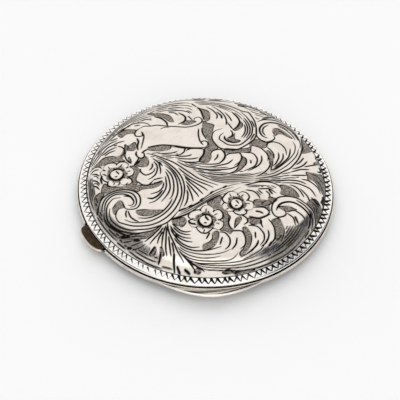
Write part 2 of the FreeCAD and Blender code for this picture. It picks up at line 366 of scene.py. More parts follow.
def plainMetal(name, look):
    material, tree, shader, colour, gloss, height = metalFinish(name, look)
    tree.links.new(colour, shader.inputs["Base Color"])
    tree.links.new(gloss, shader.inputs["Roughness"])
    inputs = {"Height": height, "Distance": look["scratchDepth"] * mm, "Strength": 1.0}
    tree.links.new(add(tree, "Bump", inputs).outputs[0], shader.inputs["Normal"])
    return material


lugLook = {
    "clean": (0.075, 0.052, 0.034, 1),
    "stained": (0.016, 0.012, 0.009, 1),
    "tarnish": 0.9,
    "patchScale": 800.0,
    "scratchScale": 700.0,
    "smudgeScale": 300.0,
    "roughness": (0.35, 0.55),
    "scratchDepth": 0.004,
    "paleNoseColour": (0.8, 0.7, 0.58, 1),       # paler colour of the round outer edge
}
baseLook = {
    "clean": (0.82, 0.76, 0.69, 1),
    "stained": (0.42, 0.34, 0.26, 1),
    "tarnish": 0.6,
    "patchScale": 260.0,
    "scratchScale": 600.0,
    "smudgeScale": 110.0,
    "roughness": (0.16, 0.36),
    "scratchDepth": 0.003,
    "underRimShade": (0.03, 0.026, 0.022, 1),    # painted shade on the ledge under the lid's rim
    "underRimShadeRadius": (34.86, 34.8),
}


def recoloured(material, share, colour):
    # a plain metal whose colour goes to another one with share
    tree = material.node_tree
    base = tree.nodes["Principled BSDF"].inputs["Base Color"]
    tree.links.new(mixColour(tree, share, base.links[0].from_socket, colour), base)
    return material


def paleNosedLug():
    material = plainMetal("paleNosedLug", lugLook)
    paleNose = add(material.node_tree, "Attribute", attribute_name="paleNose").outputs["Fac"]
    return recoloured(material, paleNose, lugLook["paleNoseColour"])


def baseWithPaintedRimShade():
    # painted shade: dark within a radius about the upright axis, where the base lies under the lid's rim
    material = plainMetal("baseSilver", baseLook)
    tree = material.node_tree
    place = add(tree, "TexCoord").outputs["Object"]
    flat = add(tree, "VectorMath", {0: place, 1: (1, 1, 0)}, operation="MULTIPLY").outputs[0]
    radius = add(tree, "VectorMath", {0: flat}, operation="LENGTH").outputs["Value"]
    low, high = (edge * mm for edge in baseLook["underRimShadeRadius"])
    return recoloured(material, spread(tree, radius, low, high), baseLook["underRimShade"])


cardLook = {"pale": (0.5, 0.41, 0.31, 1), "dark": (0.36, 0.28, 0.2, 1), "fibreScale": 1500.0}


def packingCard():
    # plain grey-brown board with short fibres
    material = bpy.data.materials.new("packingCard")
    material.use_nodes = True
    tree = material.node_tree
    shader = tree.nodes["Principled BSDF"]
    place = add(tree, "TexCoord").outputs["Object"]
    inputs = {"Vector": place, "Scale": cardLook["fibreScale"], "Detail": 5.0, "Distortion": 1.5}
    fibre = add(tree, "TexNoise", inputs).outputs[0]
    tree.links.new(mixColour(tree, fibre, cardLook["dark"], cardLook["pale"]), shader.inputs["Base Color"])
    shader.inputs["Roughness"].default_value = 0.9
    return material


finishes = {
    "engraved": engravedSilver("engravedSilver", engravedLook),
    "border": engravedSilver("borderPaintedBright", borderHighlightLook),
    "silver": plainMetal("plainSilver", plainLook),
    "gilt": plainMetal("wornGilding", giltLook),
    "mirror": plainMetal("silveredGlass", mirrorLook),
    "packing": packingCard(),
    "lug": paleNosedLug(),
    "base": baseWithPaintedRimShade(),
}
print("finishes made:", ", ".join(finishes))


# Engraving of the lid's crown: a drawing seen from above, in mm from the lid's centre
engraving = {
    "spacing": 0.08,     # of the field that the cuts are drawn on, in mm
    "reach": 33.2,       # half the field's side
    "heavy": 0.6,        # widths of the graver's cuts
    "line": 0.46,
    "fine": 0.32,
    "hair": 0.27,
    "wall": 0.55,        # depth of a cut for each mm of half width
    "groundDepth": 0.07,
    "sampleStep": 0.04,  # along the runs
    "swellIn": 0.14,     # share of a cut over which it swells, and over which it tapers
    "taperOut": 0.3,
    "swellPower": 0.6,
    "endWidth": 0.35,    # share of the width that is left at the ends
    "shadeRounds": 40,   # how often the shaded places are softened
    "bundleSteps": 24,   # points on a bundle's edges
    "shortest": 0.8,     # length under which a bundle's line is left out
    "gap": 0.13,         # how far a bundle's line stays from any earlier cut, besides
    "gapShare": 0.3,     # this share of its own width
    "gapProbes": 9,      # places from side to side where that is tested
}

# Sunk ground between the leaves, each a closed outline in mm seen from above
groundPatches = [
    # round the left flower
    [(-30.2, 4.3), (-29, 5.6), (-27.6, 6.9), (-25.6, 7.2), (-24, 6.8), (-23, 7.6), (-22.3, 9.2),
     (-21.9, 10.7), (-21.1, 10.3), (-21.4, 8.8), (-22.2, 7.2), (-22.6, 5.6), (-22, 4.8), (-24, 4.9),
     (-26.4, 4.6), (-28, 3.9)],
    [(-20.6, 2.6), (-19.4, 2.6), (-18.3, 1.6), (-17.9, .4), (-18.6, -1), (-19, -2.4), (-18.6, -3.6),
     (-19.2, -4.2), (-20, -3.6), (-20, -2.2), (-20.8, -1.2), (-19.8, -.6), (-19.4, .6), (-19.9, 1.8)],
    [(-27.4, -2.8), (-26.2, -3.9), (-24.3, -4.3), (-22, -4.3), (-20.3, -3.9), (-19.2, -4), (-18, -4.5),
     (-16.5, -4.6), (-14.5, -4.4), (-12.5, -3.6), (-12, -4.2), (-13, -5.4), (-14.5, -5.9), (-16, -5.9),
     (-17.5, -6), (-18.6, -6.6), (-20, -5.9), (-22, -5.5), (-24, -5.5), (-26, -6), (-27.7, -6.3),
     (-28.2, -5)],
    [(-22, 11.3), (-21, 10.8), (-19.2, 11.8), (-19, 9), (-20.5, 8.6), (-21.8, 9.5)],
    [(-18, 4.9), (-16.5, 5.8), (-15.7, 4.9), (-15.6, 3.2), (-16.1, 2), (-17.5, 2), (-19, 3)],
    [(-20.7, 6.2), (-20.2, 3.8), (-21.1, 5.2)],
    [(-29.8, -6.5), (-28, -5.7), (-27.5, -6.5), (-28.5, -8), (-29.2, -10), (-29.2, -12), (-30, -9)],
    # left scroll
    [(-24.5, -10.2), (-23.5, -9), (-22.6, -9.6), (-22.3, -10.8), (-22.2, -11.6), (-23.3, -11.8), (-24, -12.6),
     (-24.3, -13.6), (-25, -13), (-25.2, -11.6), (-24.8, -10.9)],
    [(-23.4, -20.2), (-20, -20.2), (-16.6, -20.1), (-12.6, -18.3), (-13.8, -19.8), (-15.4, -21.2),
     (-16.8, -21.8), (-19.6, -21.6), (-21.6, -21.2)],
    [(-12.9, -24.6), (-12.2, -25.2), (-12, -26.8), (-12.7, -27), (-13, -26)],
    [(-19, -12.9), (-17.3, -12.7), (-15.2, -12.9), (-12.1, -13.3), (-13.2, -14.4), (-15.2, -14.8),
     (-16.9, -14.7), (-18.6, -14)],
    [(-15.7, -26), (-14.4, -24.4), (-14, -25.4), (-14.8, -26.7)],
    [(-4.4, -31.2), (-3.6, -30.6), (-2.6, -31.3), (-3.6, -31.6)],
    [(2.8, -31.5), (3.6, -31), (5.4, -30.9), (7, -31), (5, -31.5)],
    # between the two lower flowers and their leaves
    [(-.4, -11.6), (1, -10.4), (2.6, -9.3), (3.4, -9.4), (3.2, -10.8), (3, -12), (3.5, -13.4), (4.6, -14.3),
     (5, -15.3), (5.4, -15.8), (4.9, -16.4), (4.9, -18), (5.4, -19.4), (5.9, -20.2), (5.3, -21.2),
     (4.8, -20.9), (3.9, -20.2), (2.6, -20), (3.4, -19), (3.6, -17.6), (3.3, -16), (3.4, -14.6),
     (2.4, -13.6), (1.2, -13.2)],
    [(-9.8, -16.8), (-8.2, -16.2), (-6.4, -16), (-6.1, -17.5), (-7.2, -18.9), (-8.2, -18.5), (-9.3, -17.7)],
    [(-2, -24.4), (-.3, -23.5), (.5, -22.5), (.5, -21.2), (.9, -20.6), (2, -20.4), (2.2, -21.9), (1.8, -23.5),
     (.9, -24.8), (-.3, -25.5), (-1.8, -25.9)],
    [(6.9, -16.5), (8, -15.8), (8.3, -16.9), (6.8, -18.8), (6.3, -19.4)],
    [(10.1, -16.2), (13.3, -16.2), (13.5, -17.7), (12.7, -17.9), (10.6, -17.9)],
    [(8.6, -19.2), (9.5, -19), (10.4, -20.4), (10.7, -22.1), (10.3, -24.2), (9.5, -26), (8, -27.7),
     (7.4, -26.9), (8.6, -25), (9.1, -22.5), (8.6, -20.2)],
    [(11.9, -10.6), (13.5, -10), (16.5, -10.5), (15.9, -12), (16.1, -13.5), (14.5, -12.3), (12.3, -12.3)],
    # right scroll
    [(27, .8), (28.6, .8), (30.4, .9), (31.8, 1.6), (32.2, .2), (32.2, -2.8), (31.6, -5.6), (30.6, -4.6),
     (29.6, -3), (28.4, -2), (27.2, -1.9), (27.3, -.6)],
    [(29.6, 4.4), (30.8, 5), (32, 5.9), (31.9, 7), (31, 6.4), (30, 5.4)],
    [(16.2, -16.7), (18.1, -15.8), (18.8, -16.9), (19.4, -18.8), (19.2, -20.8), (18.3, -22.9), (17.1, -22.9),
     (16.9, -20.4), (16.7, -18.8)],
    [(18.3, -12.3), (19.4, -11.8), (21.2, -11.6), (22.5, -12.3), (23.3, -12.7), (21.7, -13.1), (20.4, -13.5)],
    [(26.2, -10.1), (28.3, -8.4), (30.4, -10), (30, -12.1), (28.8, -14.2), (27.7, -11.9)],
    [(19.4, -4.7), (21.7, -4.7), (23.3, -6.1), (24.2, -8.2), (22.5, -8.3), (20.4, -8), (19.2, -7.6),
     (19.6, -6.1)],
    [(16.2, -9), (18.3, -9.7), (16.9, -10.9), (14.6, -12), (14, -11.1), (15.6, -10.1)],
    [(26.7, 18.2), (27.7, 16.3), (29.2, 14), (30.2, 11.9), (30, 10.8), (28.3, 8.5), (26.5, 8), (27.1, 10),
     (26.9, 13.2), (27.1, 15.7)],
    # right of the ribbon, and under it
    [(-.1, 19.4), (.9, 18.6), (2.6, 17.8), (2.4, 16.3), (2.2, 14.8), (1.9, 13.2), (2, 11.5), (2.4, 10),
     (3.4, 8.7), (3, 7.6), (1.8, 7), (1.3, 5.8), (1.3, 4.1), (.3, 2.4), (-1.6, 2.4), (-2, 3.7), (-1, 5.1),
     (-.4, 6.8), (-.3, 7.8), (.9, 8.9), (.9, 10.3), (.5, 11.5), (-.4, 14.2), (-.5, 16.7)],
    [(-15.5, 9.3), (-12, 9.8), (-9.7, 9.6), (-9.8, 8), (-12, 7.5), (-15.5, 8.2)],
    [(9.9, 5), (10.5, 4.2), (10.7, 2.8), (10, 1.2), (8.8, -.2), (7.2, -1.4), (6.4, -1.4), (7.6, -.4),
     (8.4, .8), (8.4, 1.8), (9, 2.6), (9.5, 3.8)],
    [(5.1, 7.8), (8.8, 7.8), (12, 8.7), (12.1, 10.8), (14.2, 12.3), (16.9, 11.3), (16.9, 9.7), (15.8, 8.7),
     (14.2, 9.3), (12.7, 9.3), (12.3, 7.8), (12, 7), (9.2, 6.4), (5.9, 6)],
    [(16.9, 8), (17.7, 7.2), (18.3, 5.8), (18.2, 4.1), (17.7, 2), (17.2, .3), (17.3, 2.6), (17.1, 5.1),
     (16.5, 7.2)],
    # upper scrolls
    [(-24, 15.7), (-22.3, 17.3), (-20.7, 17.5), (-19, 17.1), (-19.4, 15.7), (-21.5, 15.5), (-23, 14.4)],
    [(-15.7, 23.8), (-14, 24), (-12, 23.8), (-10.8, 23.2), (-9.5, 22.3), (-8.6, 20.7), (-8.4, 19.4),
     (-9.7, 19.8), (-10.8, 21.1), (-13, 22.3), (-14, 22.8)],
    [(-5.8, 19.4), (-4.7, 20), (-3.5, 19.8), (-2.2, 19.2), (-3.7, 18.1), (-5.3, 18), (-6.4, 18.4)],
    [(-1.6, 25.7), (.1, 25), (1.3, 24.2), (1.8, 23.2), (1.8, 21.7), (1.5, 20.2), (.7, 19.4), (.3, 19.6),
     (0, 21.1), (-.3, 23.2), (-1, 24.6)],
    [(6.3, 12.3), (7.6, 13), (8.4, 14.4), (8.2, 11.9), (9.7, 11.3), (8.4, 10.7), (6.8, 11), (5.9, 11.9)],
    [(10.1, 19.6), (10.7, 19), (10.6, 17.3), (9.7, 16.1), (8.6, 15.5), (8, 15.7), (9, 16.9), (9.7, 18.2)],
    [(19, 16.1), (19.4, 17.3), (20.4, 17.5), (21.2, 17.3), (22.5, 16.3), (24.4, 13.8), (23.3, 14.2),
     (21.7, 15), (20.4, 15), (19.6, 14.4)],
    [(16.6, 21.2), (19, 21.9), (22.2, 21.2), (21.8, 22), (19.2, 22.6), (17, 22)],
    [(19.4, 22.8), (20.4, 22.9), (20, 24), (18.4, 25.2), (17.2, 25.6), (18.4, 24.2)],
    [(-14.4, 27.4), (-12.6, 28.2), (-11.6, 28), (-12.6, 27.4)],
    # front rim
    [(4.6, -31), (7.4, -30.9), (11.2, -30), (9.6, -30.9), (7.4, -31.6)],
]

# Places matted without an outline of their own, lightly; 1 is fully matted
shadedTone = 0.3
shadedPatches = [
    [(-7, 1.8), (-4, .2), (0, -1.4), (4, -2), (8, -1.9), (13, -1.4), (17, .6), (18, 1.6), (19.6, .8),
     (19, -1), (20.6, -2.4), (20, -3.8), (15, -4), (11, -4.4), (8, -4.8), (4, -4.8), (1, -4), (-2, -2.4),
     (-5, .2)],
    [(-20.4, -24.4), (-18.3, -23.8), (-16, -23.7), (-15.5, -25), (-16.2, -26.6), (-17.5, -26.4)],
    [(-16.4, -27.3), (-13, -26.3), (-13, -28.9), (-14.6, -28.5)],
    [(-22.6, 19.4), (-20, 21.6), (-17, 23.6), (-14, 25), (-10, 26), (-6, 27.4), (-6, 28.6), (-12, 27.4),
     (-17, 25.4), (-21, 22.6), (-25, 18.4), (-27.6, 14.4), (-26.6, 14)],
    [(-1, 28.6), (3, 28.8), (7, 27.6), (10, 26), (10.6, 24.6), (7.6, 26), (4, 27.2), (0, 27.6)],
    [(-29, -12), (-28.8, -9.7), (-27.8, -7.6), (-25.7, -6.1), (-23.2, -5.5), (-20.5, -5.9), (-18.8, -7),
     (-19.6, -7.6), (-20.6, -6.9), (-22.8, -6.3), (-25, -6.6), (-26.8, -8), (-27.7, -9.9), (-28, -12)],
    [(20.4, 20.6), (23.2, 18.6), (25.2, 15.8), (26, 13), (25, 14.4), (23, 17), (20.8, 18.8)],
]

# Painted reflection: the shoulders matted darker, standing in for the dark room that they mirror
shoulderReflectionTone = 0.8
shoulderReflectionPatches = [
    [(-31.9, 2), (-31.6, -4), (-30.6, -9), (-28.8, -13.6), (-26.4, -17.6), (-23, -21.8), (-19.6, -24.6),
     (-17.6, -23), (-19, -19.6), (-22, -18), (-24.8, -15.6), (-27, -12.6), (-28.6, -9.4), (-30, -6),
     (-30.6, -2)],
    [(14.4, -29), (16, -28.2), (20.6, -24.8), (24.6, -20.6), (27, -16.8), (28.6, -13.6), (27, -14), (26, -17),
     (23, -18), (20.4, -19.4), (19, -21.6), (17.2, -24.2)],
]

# Flowers: centre, radius of the button, edge of the petals
flowers = [
    ((-24.2, .2), 1.9, [(-28.2, -.2), (-28.6, 1.4), (-27.9, 2.3), (-27.7, 3.4), (-26.6, 4.4), (-25, 4.5),
                        (-24.2, 4.1), (-23.2, 4.6), (-21.8, 4.3), (-21, 3.3), (-21.2, 2.4), (-20, 1.8),
                        (-19.5, .5), (-20, -.7), (-21, -1.2), (-20.2, -2.2), (-20.1, -3.3), (-21.2, -3.9),
                        (-22.6, -3.8), (-23.3, -3.2), (-24.2, -4), (-25.6, -4), (-26.5, -3.3), (-26.6, -2.4),
                        (-27.6, -1.6)]),
    ((-1, -17), 1.8, [(-2.4, -13.6), (-1.4, -12.5), (0, -12.3), (1.1, -13.2), (1.4, -13.9), (2.6, -13.7),
     (3.5, -14.8), (3.5, -16.1), (2.8, -16.9), (3.6, -17.8), (3.3, -19.1), (2.2, -19.9), (.9, -19.5),
     (.1, -20.1), (-.9, -20.9), (-2.2, -20.8), (-3.1, -20), (-3.6, -19.2), (-4.8, -18.8), (-5.4, -17.6),
     (-5, -16.6), (-5.5, -15.6), (-4.9, -14.4), (-3.6, -13.8)]),
    ((7.3, -11.6), 1.7, [(4.6, -8.6), (5.8, -7.7), (7.1, -7.9), (7.8, -8.4), (9, -7.7), (10.3, -8.2),
                         (10.8, -9.4), (10.4, -10.4), (11.5, -11), (11.8, -12.2), (11.2, -13.4), (10, -13.8),
                         (9.6, -14.8), (8.2, -15.3), (6.9, -14.9), (6.2, -14.2), (4.9, -14.2), (3.7, -13.4),
                         (3.4, -12.3), (4, -11.4), (3.6, -10.2)]),
]

# Single cuts, width by name
cuts = {
    "heavy": [
        [(-28.1, .2), (-28.4, -1.2), (-28, -2.8)],
        [(-.5, 7.4), (-.7, 5.6), (-1.6, 4), (-2, 2.6)],
        [(4.3, 7.4), (5, 6.2), (5.1, 4.8), (4.5, 3.4), (3.4, 2.2)],
        [(31.5, -5.8), (31.3, -7.4), (30.7, -8.8)],
        [(31.2, -6.2), (30.9, -7.6), (30.3, -8.6)],
        [(31.8, 4.4), (31.5, 3), (31, 1.8)],
        [(31.5, 4.4), (31.1, 3.2)],
        [(26.8, -13.4), (26.7, -15.4), (26.2, -17.4)],
        [(-22.9, -20.4), (-21.8, -20.7), (-20.6, -20.9)],
        [(-5.3, -12.7), (-4.8, -12.4), (-4.4, -12.1)],
        [(-2.2, -10.8), (-1.8, -10.4), (-1.4, -10)],
        [(.5, -8.5), (.9, -8.1), (1.4, -7.7)],
        [(4, -6.5), (4.5, -6.2), (5, -5.8)],
        [(-8, -13.9), (-6.9, -13.4), (-5.8, -13)],
        [(-9.9, -16.5), (-8.2, -15.8), (-6.4, -15.2), (-4.8, -14.3)],
        [(-12, -6.8), (-13.3, -8.5), (-14.7, -9.3), (-16.1, -9)],
        [(-9.4, -26.6), (-9.5, -28.8), (-9.3, -31)],
        [(-8.7, -29.8), (-8.3, -30.6), (-7.8, -31.4)],
        [(-6.8, -30.6), (-6.2, -31), (-5.4, -31.5)],
        [(-13.4, -28.6), (-13, -27.4), (-12.9, -26.2)],
        [(-19.7, -22), (-18, -22.3)],
        [(-21.4, -23.2), (-20.2, -23.7)],
        [(-15.4, -25.9), (-14.4, -24.6)],
        [(-18, 4.3), (-19.4, 2.8)],
        [(-5.4, -16.9), (-5.1, -17.7), (-3.5, -18.3)],
        [(-17.3, 7.2), (-16.7, 8), (-15.7, 8.5)],
        [(-18.7, 13.4), (-18.3, 11.9), (-18.6, 10), (-18.4, 8.5)],
        [(10.4, -15.6), (11.9, -16), (13.3, -16), (14.8, -15.3), (16, -14.6)],
        [(12.2, -13.9), (13.2, -14), (14.2, -14.5)],
        [(17.7, -13.3), (18.3, -11.9), (19.4, -10.8), (21.2, -10.2), (22.9, -10.4), (24.6, -11.5),
         (26, -13.1), (26.7, -14.6), (26.5, -16.2), (26, -17.5)],
        [(22.6, -14.8), (23.3, -17.1)],
        [(16.2, -6.5), (17.1, -8)],
        [(-7, 23.6), (-5.5, 22.1), (-5.1, 20.9), (-5.5, 19.6), (-7.2, 18.3)],
        [(5.4, 13), (5.4, 11.9), (6.1, 10.9), (7.6, 10.4), (9, 10.7), (9.7, 11.1)],
        [(8, 24), (9.5, 21.5), (10, 19.4), (9.2, 17.3), (7.8, 15.7)],
        [(5.1, 20.7), (4.9, 22.1), (3.8, 23.8)],
        [(17.3, 13), (16, 13.8), (15.4, 15.5), (15.6, 17.3), (16.7, 19), (18.3, 19.8), (20.4, 19.8),
         (22.5, 19), (24.2, 17.3), (25.4, 15.2), (26, 13.2)],
        [(-13.8, 22.3), (-11.9, 21.3), (-10.5, 19.4), (-10.2, 17.5)],
        [(-8.5, 8.9), (-5.8, 8.2), (-3.7, 8), (-1.6, 7.8)],
        [(-1.6, 26), (-.8, 24.6), (-.3, 22.4), (0, 20)],
        [(15.9, -23.2), (15, -24.6)],
        [(30.4, 7), (30.8, 8.6), (30.6, 10)],
        [(30.7, 6.6), (31.2, 8), (31, 9.4)],
    ],
    "line": [
        # ribbon cartouche
        [(-18, 17.5), (-16.7, 18.3), (-14.8, 18.2), (-13.2, 18.4), (-11.5, 18), (-10, 17.6), (-7.8, 17.3),
         (-5.1, 16.9), (-2.6, 17.5), (-1, 18.6), (-.5, 19.6), (-.75, 20.7), (-1.6, 21.3), (-2.6, 20.7),
         (-2.8, 19.8)],
        [(-18, 17.5), (-19, 16.5), (-19.3, 15.5), (-19, 14.4), (-18, 14.1), (-17.2, 14.4), (-17.3, 15.5),
         (-17.5, 16.1)],
        [(-17.3, 15.9), (-16.8, 14.2), (-17, 12.1), (-17.6, 9)],
        [(-18.8, 8.2), (-18.9, 7), (-18.4, 5.8), (-17.3, 5.3), (-16.7, 6.2), (-16.9, 7.2), (-17.5, 7.5)],
        [(-15.7, 9.5), (-12, 9.9), (-8.3, 9.3), (-5.8, 8.6), (-3.3, 8.2), (-.8, 8.2), (.3, 8.7)],
        [(-1.6, 16.1), (-1.8, 14), (-1.6, 11.5), (-1.2, 10.2), (-.6, 9.3)],
        [(-.75, 16.5), (-.6, 14.2), (.3, 11.5)],
        [(.3, 8.7), (.7, 9.6), (.4, 10.6), (-.5, 10.9), (-1.2, 10.2), (-.7, 9.3)],
        # lobes left of the stem
        [(-17.7, 1.4), (-17.8, .5), (-17.2, -.5), (-16.3, -1.1), (-15.1, -.7), (-14.2, .1), (-13.9, 1.2)],
        [(-14.6, 3), (-14.6, 1.9), (-14.9, 1.1), (-15.5, .6)],
        [(-14.2, 3.7), (-13.4, 2.2), (-13.3, .6), (-13.8, -1.1), (-14.8, -2.2), (-15.8, -2.8)],
        [(-18.5, -3.1), (-17.6, -4.2), (-16, -4.7), (-15, -4), (-14.4, -3.2)],
        [(-14.4, -3.1), (-13.2, -2.7), (-11.9, -2.5)],
        [(-14.2, -4.1), (-13, -4), (-12, -3.4)],
        [(-31.6, 3.4), (-30.4, 3.9), (-29, 3.7), (-28.2, 2.9)],
        [(-31.4, 2.1), (-30.2, 2.8), (-29, 2.6)],
        [(-30.8, 1.6), (-29.8, 1.2), (-28.8, .2)],
        [(-30.8, -.6), (-29.6, -1.4), (-28.6, -2.8)],
        [(-30.6, -2.8), (-29.6, -3.3), (-28.7, -4.6)],
        [(-28, -12), (-27.8, -9.8), (-26.9, -7.8), (-25.1, -6.5), (-22.8, -6.2), (-20.4, -6.9), (-19.2, -8.4),
         (-18.9, -10.2), (-19.4, -11.4), (-20.6, -11.6)],
        [(-24, 11), (-22.8, 10.3), (-22.1, 9.1), (-22.3, 7.8), (-23.2, 6.6)],
        [(-27.5, 7.6), (-26.2, 8.7), (-24.6, 9.3)],
        [(-21.7, 8.3), (-22, 7), (-21.6, 5.4), (-20.9, 4.2), (-20.2, 3.5)],
        [(-18.9, 8), (-19, 6.8), (-18.3, 5.4), (-18.9, 4), (-19.6, 3)],
        # left scroll
        [(-27.3, -12), (-27.1, -9.9), (-26.3, -8.2), (-24.6, -7), (-22.3, -7), (-20.5, -8), (-19.6, -9.7),
         (-20, -10.9), (-21.1, -10.9)],
        [(-29, -12), (-28.8, -9.7), (-27.8, -7.6), (-25.7, -6.1), (-23.2, -5.5), (-20.5, -5.9), (-18.8, -7),
         (-18, -8.4), (-17.9, -10.5), (-18.8, -12), (-20.2, -12.3), (-21.7, -11.9), (-22.2, -10.4)],
        [(-22.3, -7.6), (-20.5, -8.2), (-19.8, -9.5)],
        [(-20.6, -20.7), (-22.7, -19.5), (-24.9, -17.7), (-26.6, -15.8), (-27.4, -13.8), (-27.4, -12.2)],
        [(-12.9, -18.4), (-15.1, -19.5), (-18.6, -20), (-20.6, -19.7), (-23.2, -18.6), (-25.1, -16.9),
         (-26.4, -15), (-26.8, -12.8), (-26.6, -10.7), (-25.8, -9.1), (-24.8, -8.2), (-23.1, -8.1)],
        [(-21.5, -12.5), (-21.7, -13.6), (-21.5, -14.8)],
        [(-21.1, -12.7), (-20.5, -14.6), (-19.4, -15.8), (-18.4, -16.4)],
        # stem: the fan to the right, from the top, then the bow to the left scroll
        [(-16.1, 7), (-13.9, 6), (-11.8, 4.7), (-9.5, 3.3), (-7.4, 1.5), (-6.2, .3), (-4.3, -1.5),
         (-2.6, -3.1), (-.8, -4.1), (.9, -4.9), (2.8, -5.7)],
        [(-7.6, .7), (-6.6, -.6), (-5.4, -1.9), (-3.6, -3.5), (-1.7, -4.7), (0, -5.6), (1.5, -6.5)],
        [(-6.4, -1.7), (-5.2, -3.1), (-4, -4.2), (-2.3, -5.6), (-.9, -6.7), (-.1, -7.5)],
        [(-6, -2.8), (-5.1, -4), (-4.2, -5.1), (-3, -6.5), (-2, -7.8), (-1.4, -8.6)],
        [(-5.8, -4.1), (-5.1, -5.2), (-4.4, -6.3), (-3.6, -7.6), (-2.9, -8.7), (-2.6, -9.6)],
        [(-5.6, -5.4), (-5.1, -6.6), (-4.7, -7.8), (-4.4, -8.9), (-4.2, -10), (-4.1, -10.9)],
        [(-5.6, -7.1), (-5.4, -8.4), (-5.5, -9.9), (-5.9, -11.4), (-6.5, -12.4)],
        [(-13.6, 5.2), (-11.6, 3.8), (-9.9, 2.1), (-8.3, .1), (-7.1, -2.1), (-6.5, -4), (-6.2, -6.3),
         (-6.4, -8.6), (-6.9, -10.9), (-7.8, -13.4)],
        [(-13.2, 4.2), (-11.3, 2.8), (-9.7, .9), (-8.6, -.8), (-7.8, -2.6), (-7.3, -4.4), (-7, -6.3),
         (-7, -8.1), (-7.4, -10), (-8.3, -12.1), (-9.5, -14), (-11.3, -15.8), (-13.4, -17.1),
         (-15.8, -17.8), (-18.5, -17.8), (-20.3, -17.5), (-22.3, -16.7), (-23.6, -15.9), (-24.3, -14.2),
         (-24.1, -12.5), (-23, -11.5)],
        [(-11.3, 2), (-9.9, .4), (-8.9, -1.4), (-8.3, -3.2), (-8, -5.3), (-8, -7.6), (-8.4, -9.3),
         (-9.2, -11.2), (-10.4, -13.1), (-12, -14.7), (-13.9, -15.9), (-15.9, -16.6), (-18.5, -16.7),
         (-20.3, -16.4), (-22, -15.4)],
        [(-9.5, -9.8), (-10.3, -11.5), (-11.6, -13.2), (-13, -14.4), (-14.7, -15.2), (-16.5, -15.5),
         (-18.5, -15.2)],
        [(-11, .6), (-9.8, -1.3), (-9.2, -3.2), (-9, -5.3), (-9.1, -7.1), (-9.5, -8.8), (-10.2, -9.9)],
        [(-11.1, -.3), (-10.5, -2), (-10.1, -4), (-10, -6.1), (-10.4, -7.6), (-11.2, -9), (-12.4, -10.6)],
        [(-11.2, -2), (-11, -3.8), (-11, -5.5), (-11.5, -7.1), (-12.6, -8.8), (-14, -10.2), (-15.7, -10.8)],
        [(-11.6, -4.1), (-12, -5.9), (-13.2, -7.2), (-15.2, -7.8)],
        [(-8.1, -13.9), (-9.6, -15.9), (-11.1, -17.3), (-13.4, -18.3), (-16, -18.9), (-18.5, -18.9),
         (-20.6, -18.8), (-22.7, -17.9), (-24.4, -16.5), (-25.6, -14.8), (-26, -13.1), (-25.9, -11.4)],
        [(-14.5, 4.9), (-13, 3.2), (-12.6, 1.6), (-12.4, .2), (-12.5, -1.1)],
        [(-12.7, 3.4), (-11.9, 1.7)],
        # front wedge
        [(-10.9, -17.5), (-10.8, -19.1), (-10.4, -20.9), (-9.4, -23.5), (-8.4, -26.4), (-6.9, -29.3)],
        [(-11.1, -18.6), (-11.3, -20.9), (-11.5, -24.8), (-11.3, -27.2)],
        [(-10.7, -21.5), (-10.5, -23.9), (-10.2, -27.4)],
        [(-9.9, -23.4), (-9.6, -25.1), (-9.4, -27.1)],
        [(-8.1, -26), (-6.7, -27.9), (-5.2, -29.7), (-3.8, -31.5)],
        [(-6.2, -28.2), (-5, -29.4), (-3.4, -30.4), (-1.7, -31.3)],
        # sweeps from the fan along the front rim
        [(-10.2, -19.3), (-9.4, -20.9), (-8.1, -23), (-6.3, -24.5), (-4.6, -25.1), (-2.8, -25)],
        [(-9.3, -22.1), (-8.4, -23.5), (-6.6, -25.1), (-4.3, -26), (-2, -26.1), (.3, -25.7), (2.8, -24.9)],
        # fan at the front, right to left
        [(-9.7, -17.8), (-8.9, -18.6), (-7.6, -19.9), (-6.2, -20.4), (-4.9, -20.2)],
        [(-9.4, -18.8), (-8.8, -19.6), (-7.9, -20.5), (-6.6, -21.1), (-5.1, -21.3)],
        [(-10.2, -18.3), (-9.7, -19.4), (-8.6, -20.9), (-6.9, -22), (-4.9, -22.4)],
        [(-9, -21), (-7.9, -22.2), (-6.4, -23.1), (-4.6, -23.5)],
        [(-11.3, -18.2), (-11.7, -19.3), (-12, -20.5), (-12.2, -21.6), (-12.4, -23.1), (-12.5, -25.3)],
        [(-12.3, -20), (-12.5, -20.5), (-12.8, -21.1), (-13.3, -22.2), (-13.6, -23.6)],
        [(-12, -18.7), (-12.6, -19.7), (-13.5, -20.9), (-14.6, -22.2), (-15.6, -23.6)],
        [(-12.8, -18.9), (-13.4, -19.5), (-14.1, -20.2), (-14.8, -21), (-16.2, -22.2), (-16.9, -22.8)],
        [(-.1, -20.8), (-1.1, -22.7)],
        # lower lobes, left to right
        [(2.4, -20.6), (3.8, -20.8), (4.9, -22.3), (5, -23.8), (4.5, -25), (3.6, -25.8)],
        [(3.1, -22.1), (2.4, -24.4)],
        [(5.5, -20.4), (6.1, -20.2), (8, -20.2), (8.8, -21.2), (9.1, -22.9), (8.8, -24.4), (7.6, -25.6)],
        [(6.9, -22.2), (6.5, -24.2), (5.4, -25.8)],
        [(5.5, -16), (4.9, -17.7), (5.3, -19.2), (6.1, -19.8)],
        [(8.2, -15.2), (9.5, -16), (9.9, -17.3), (8.8, -18.3)],
        [(11.7, -12.7), (13.5, -12.5), (14.8, -12.7), (15.8, -14), (14.8, -15.2)],
        [(15.4, -16.2), (16.5, -17.9), (16.9, -19.8), (16.7, -22.1), (16, -23.3), (15, -24.6)],
        [(13.4, -16.5), (13.4, -17.7), (13.8, -19)],
        [(10, -18.5), (11.2, -18.4), (12.5, -18.8), (13.5, -20), (14, -21.2), (13.8, -22.9), (12.7, -24.4)],
        [(11.7, -20.4), (11.7, -22.3)],
        [(12.4, -22.8), (12, -24.2), (10.6, -25.8), (9, -27.2)],
        [(15.1, -19.6), (15.2, -21.4), (14.4, -23.4), (13, -24.8)],
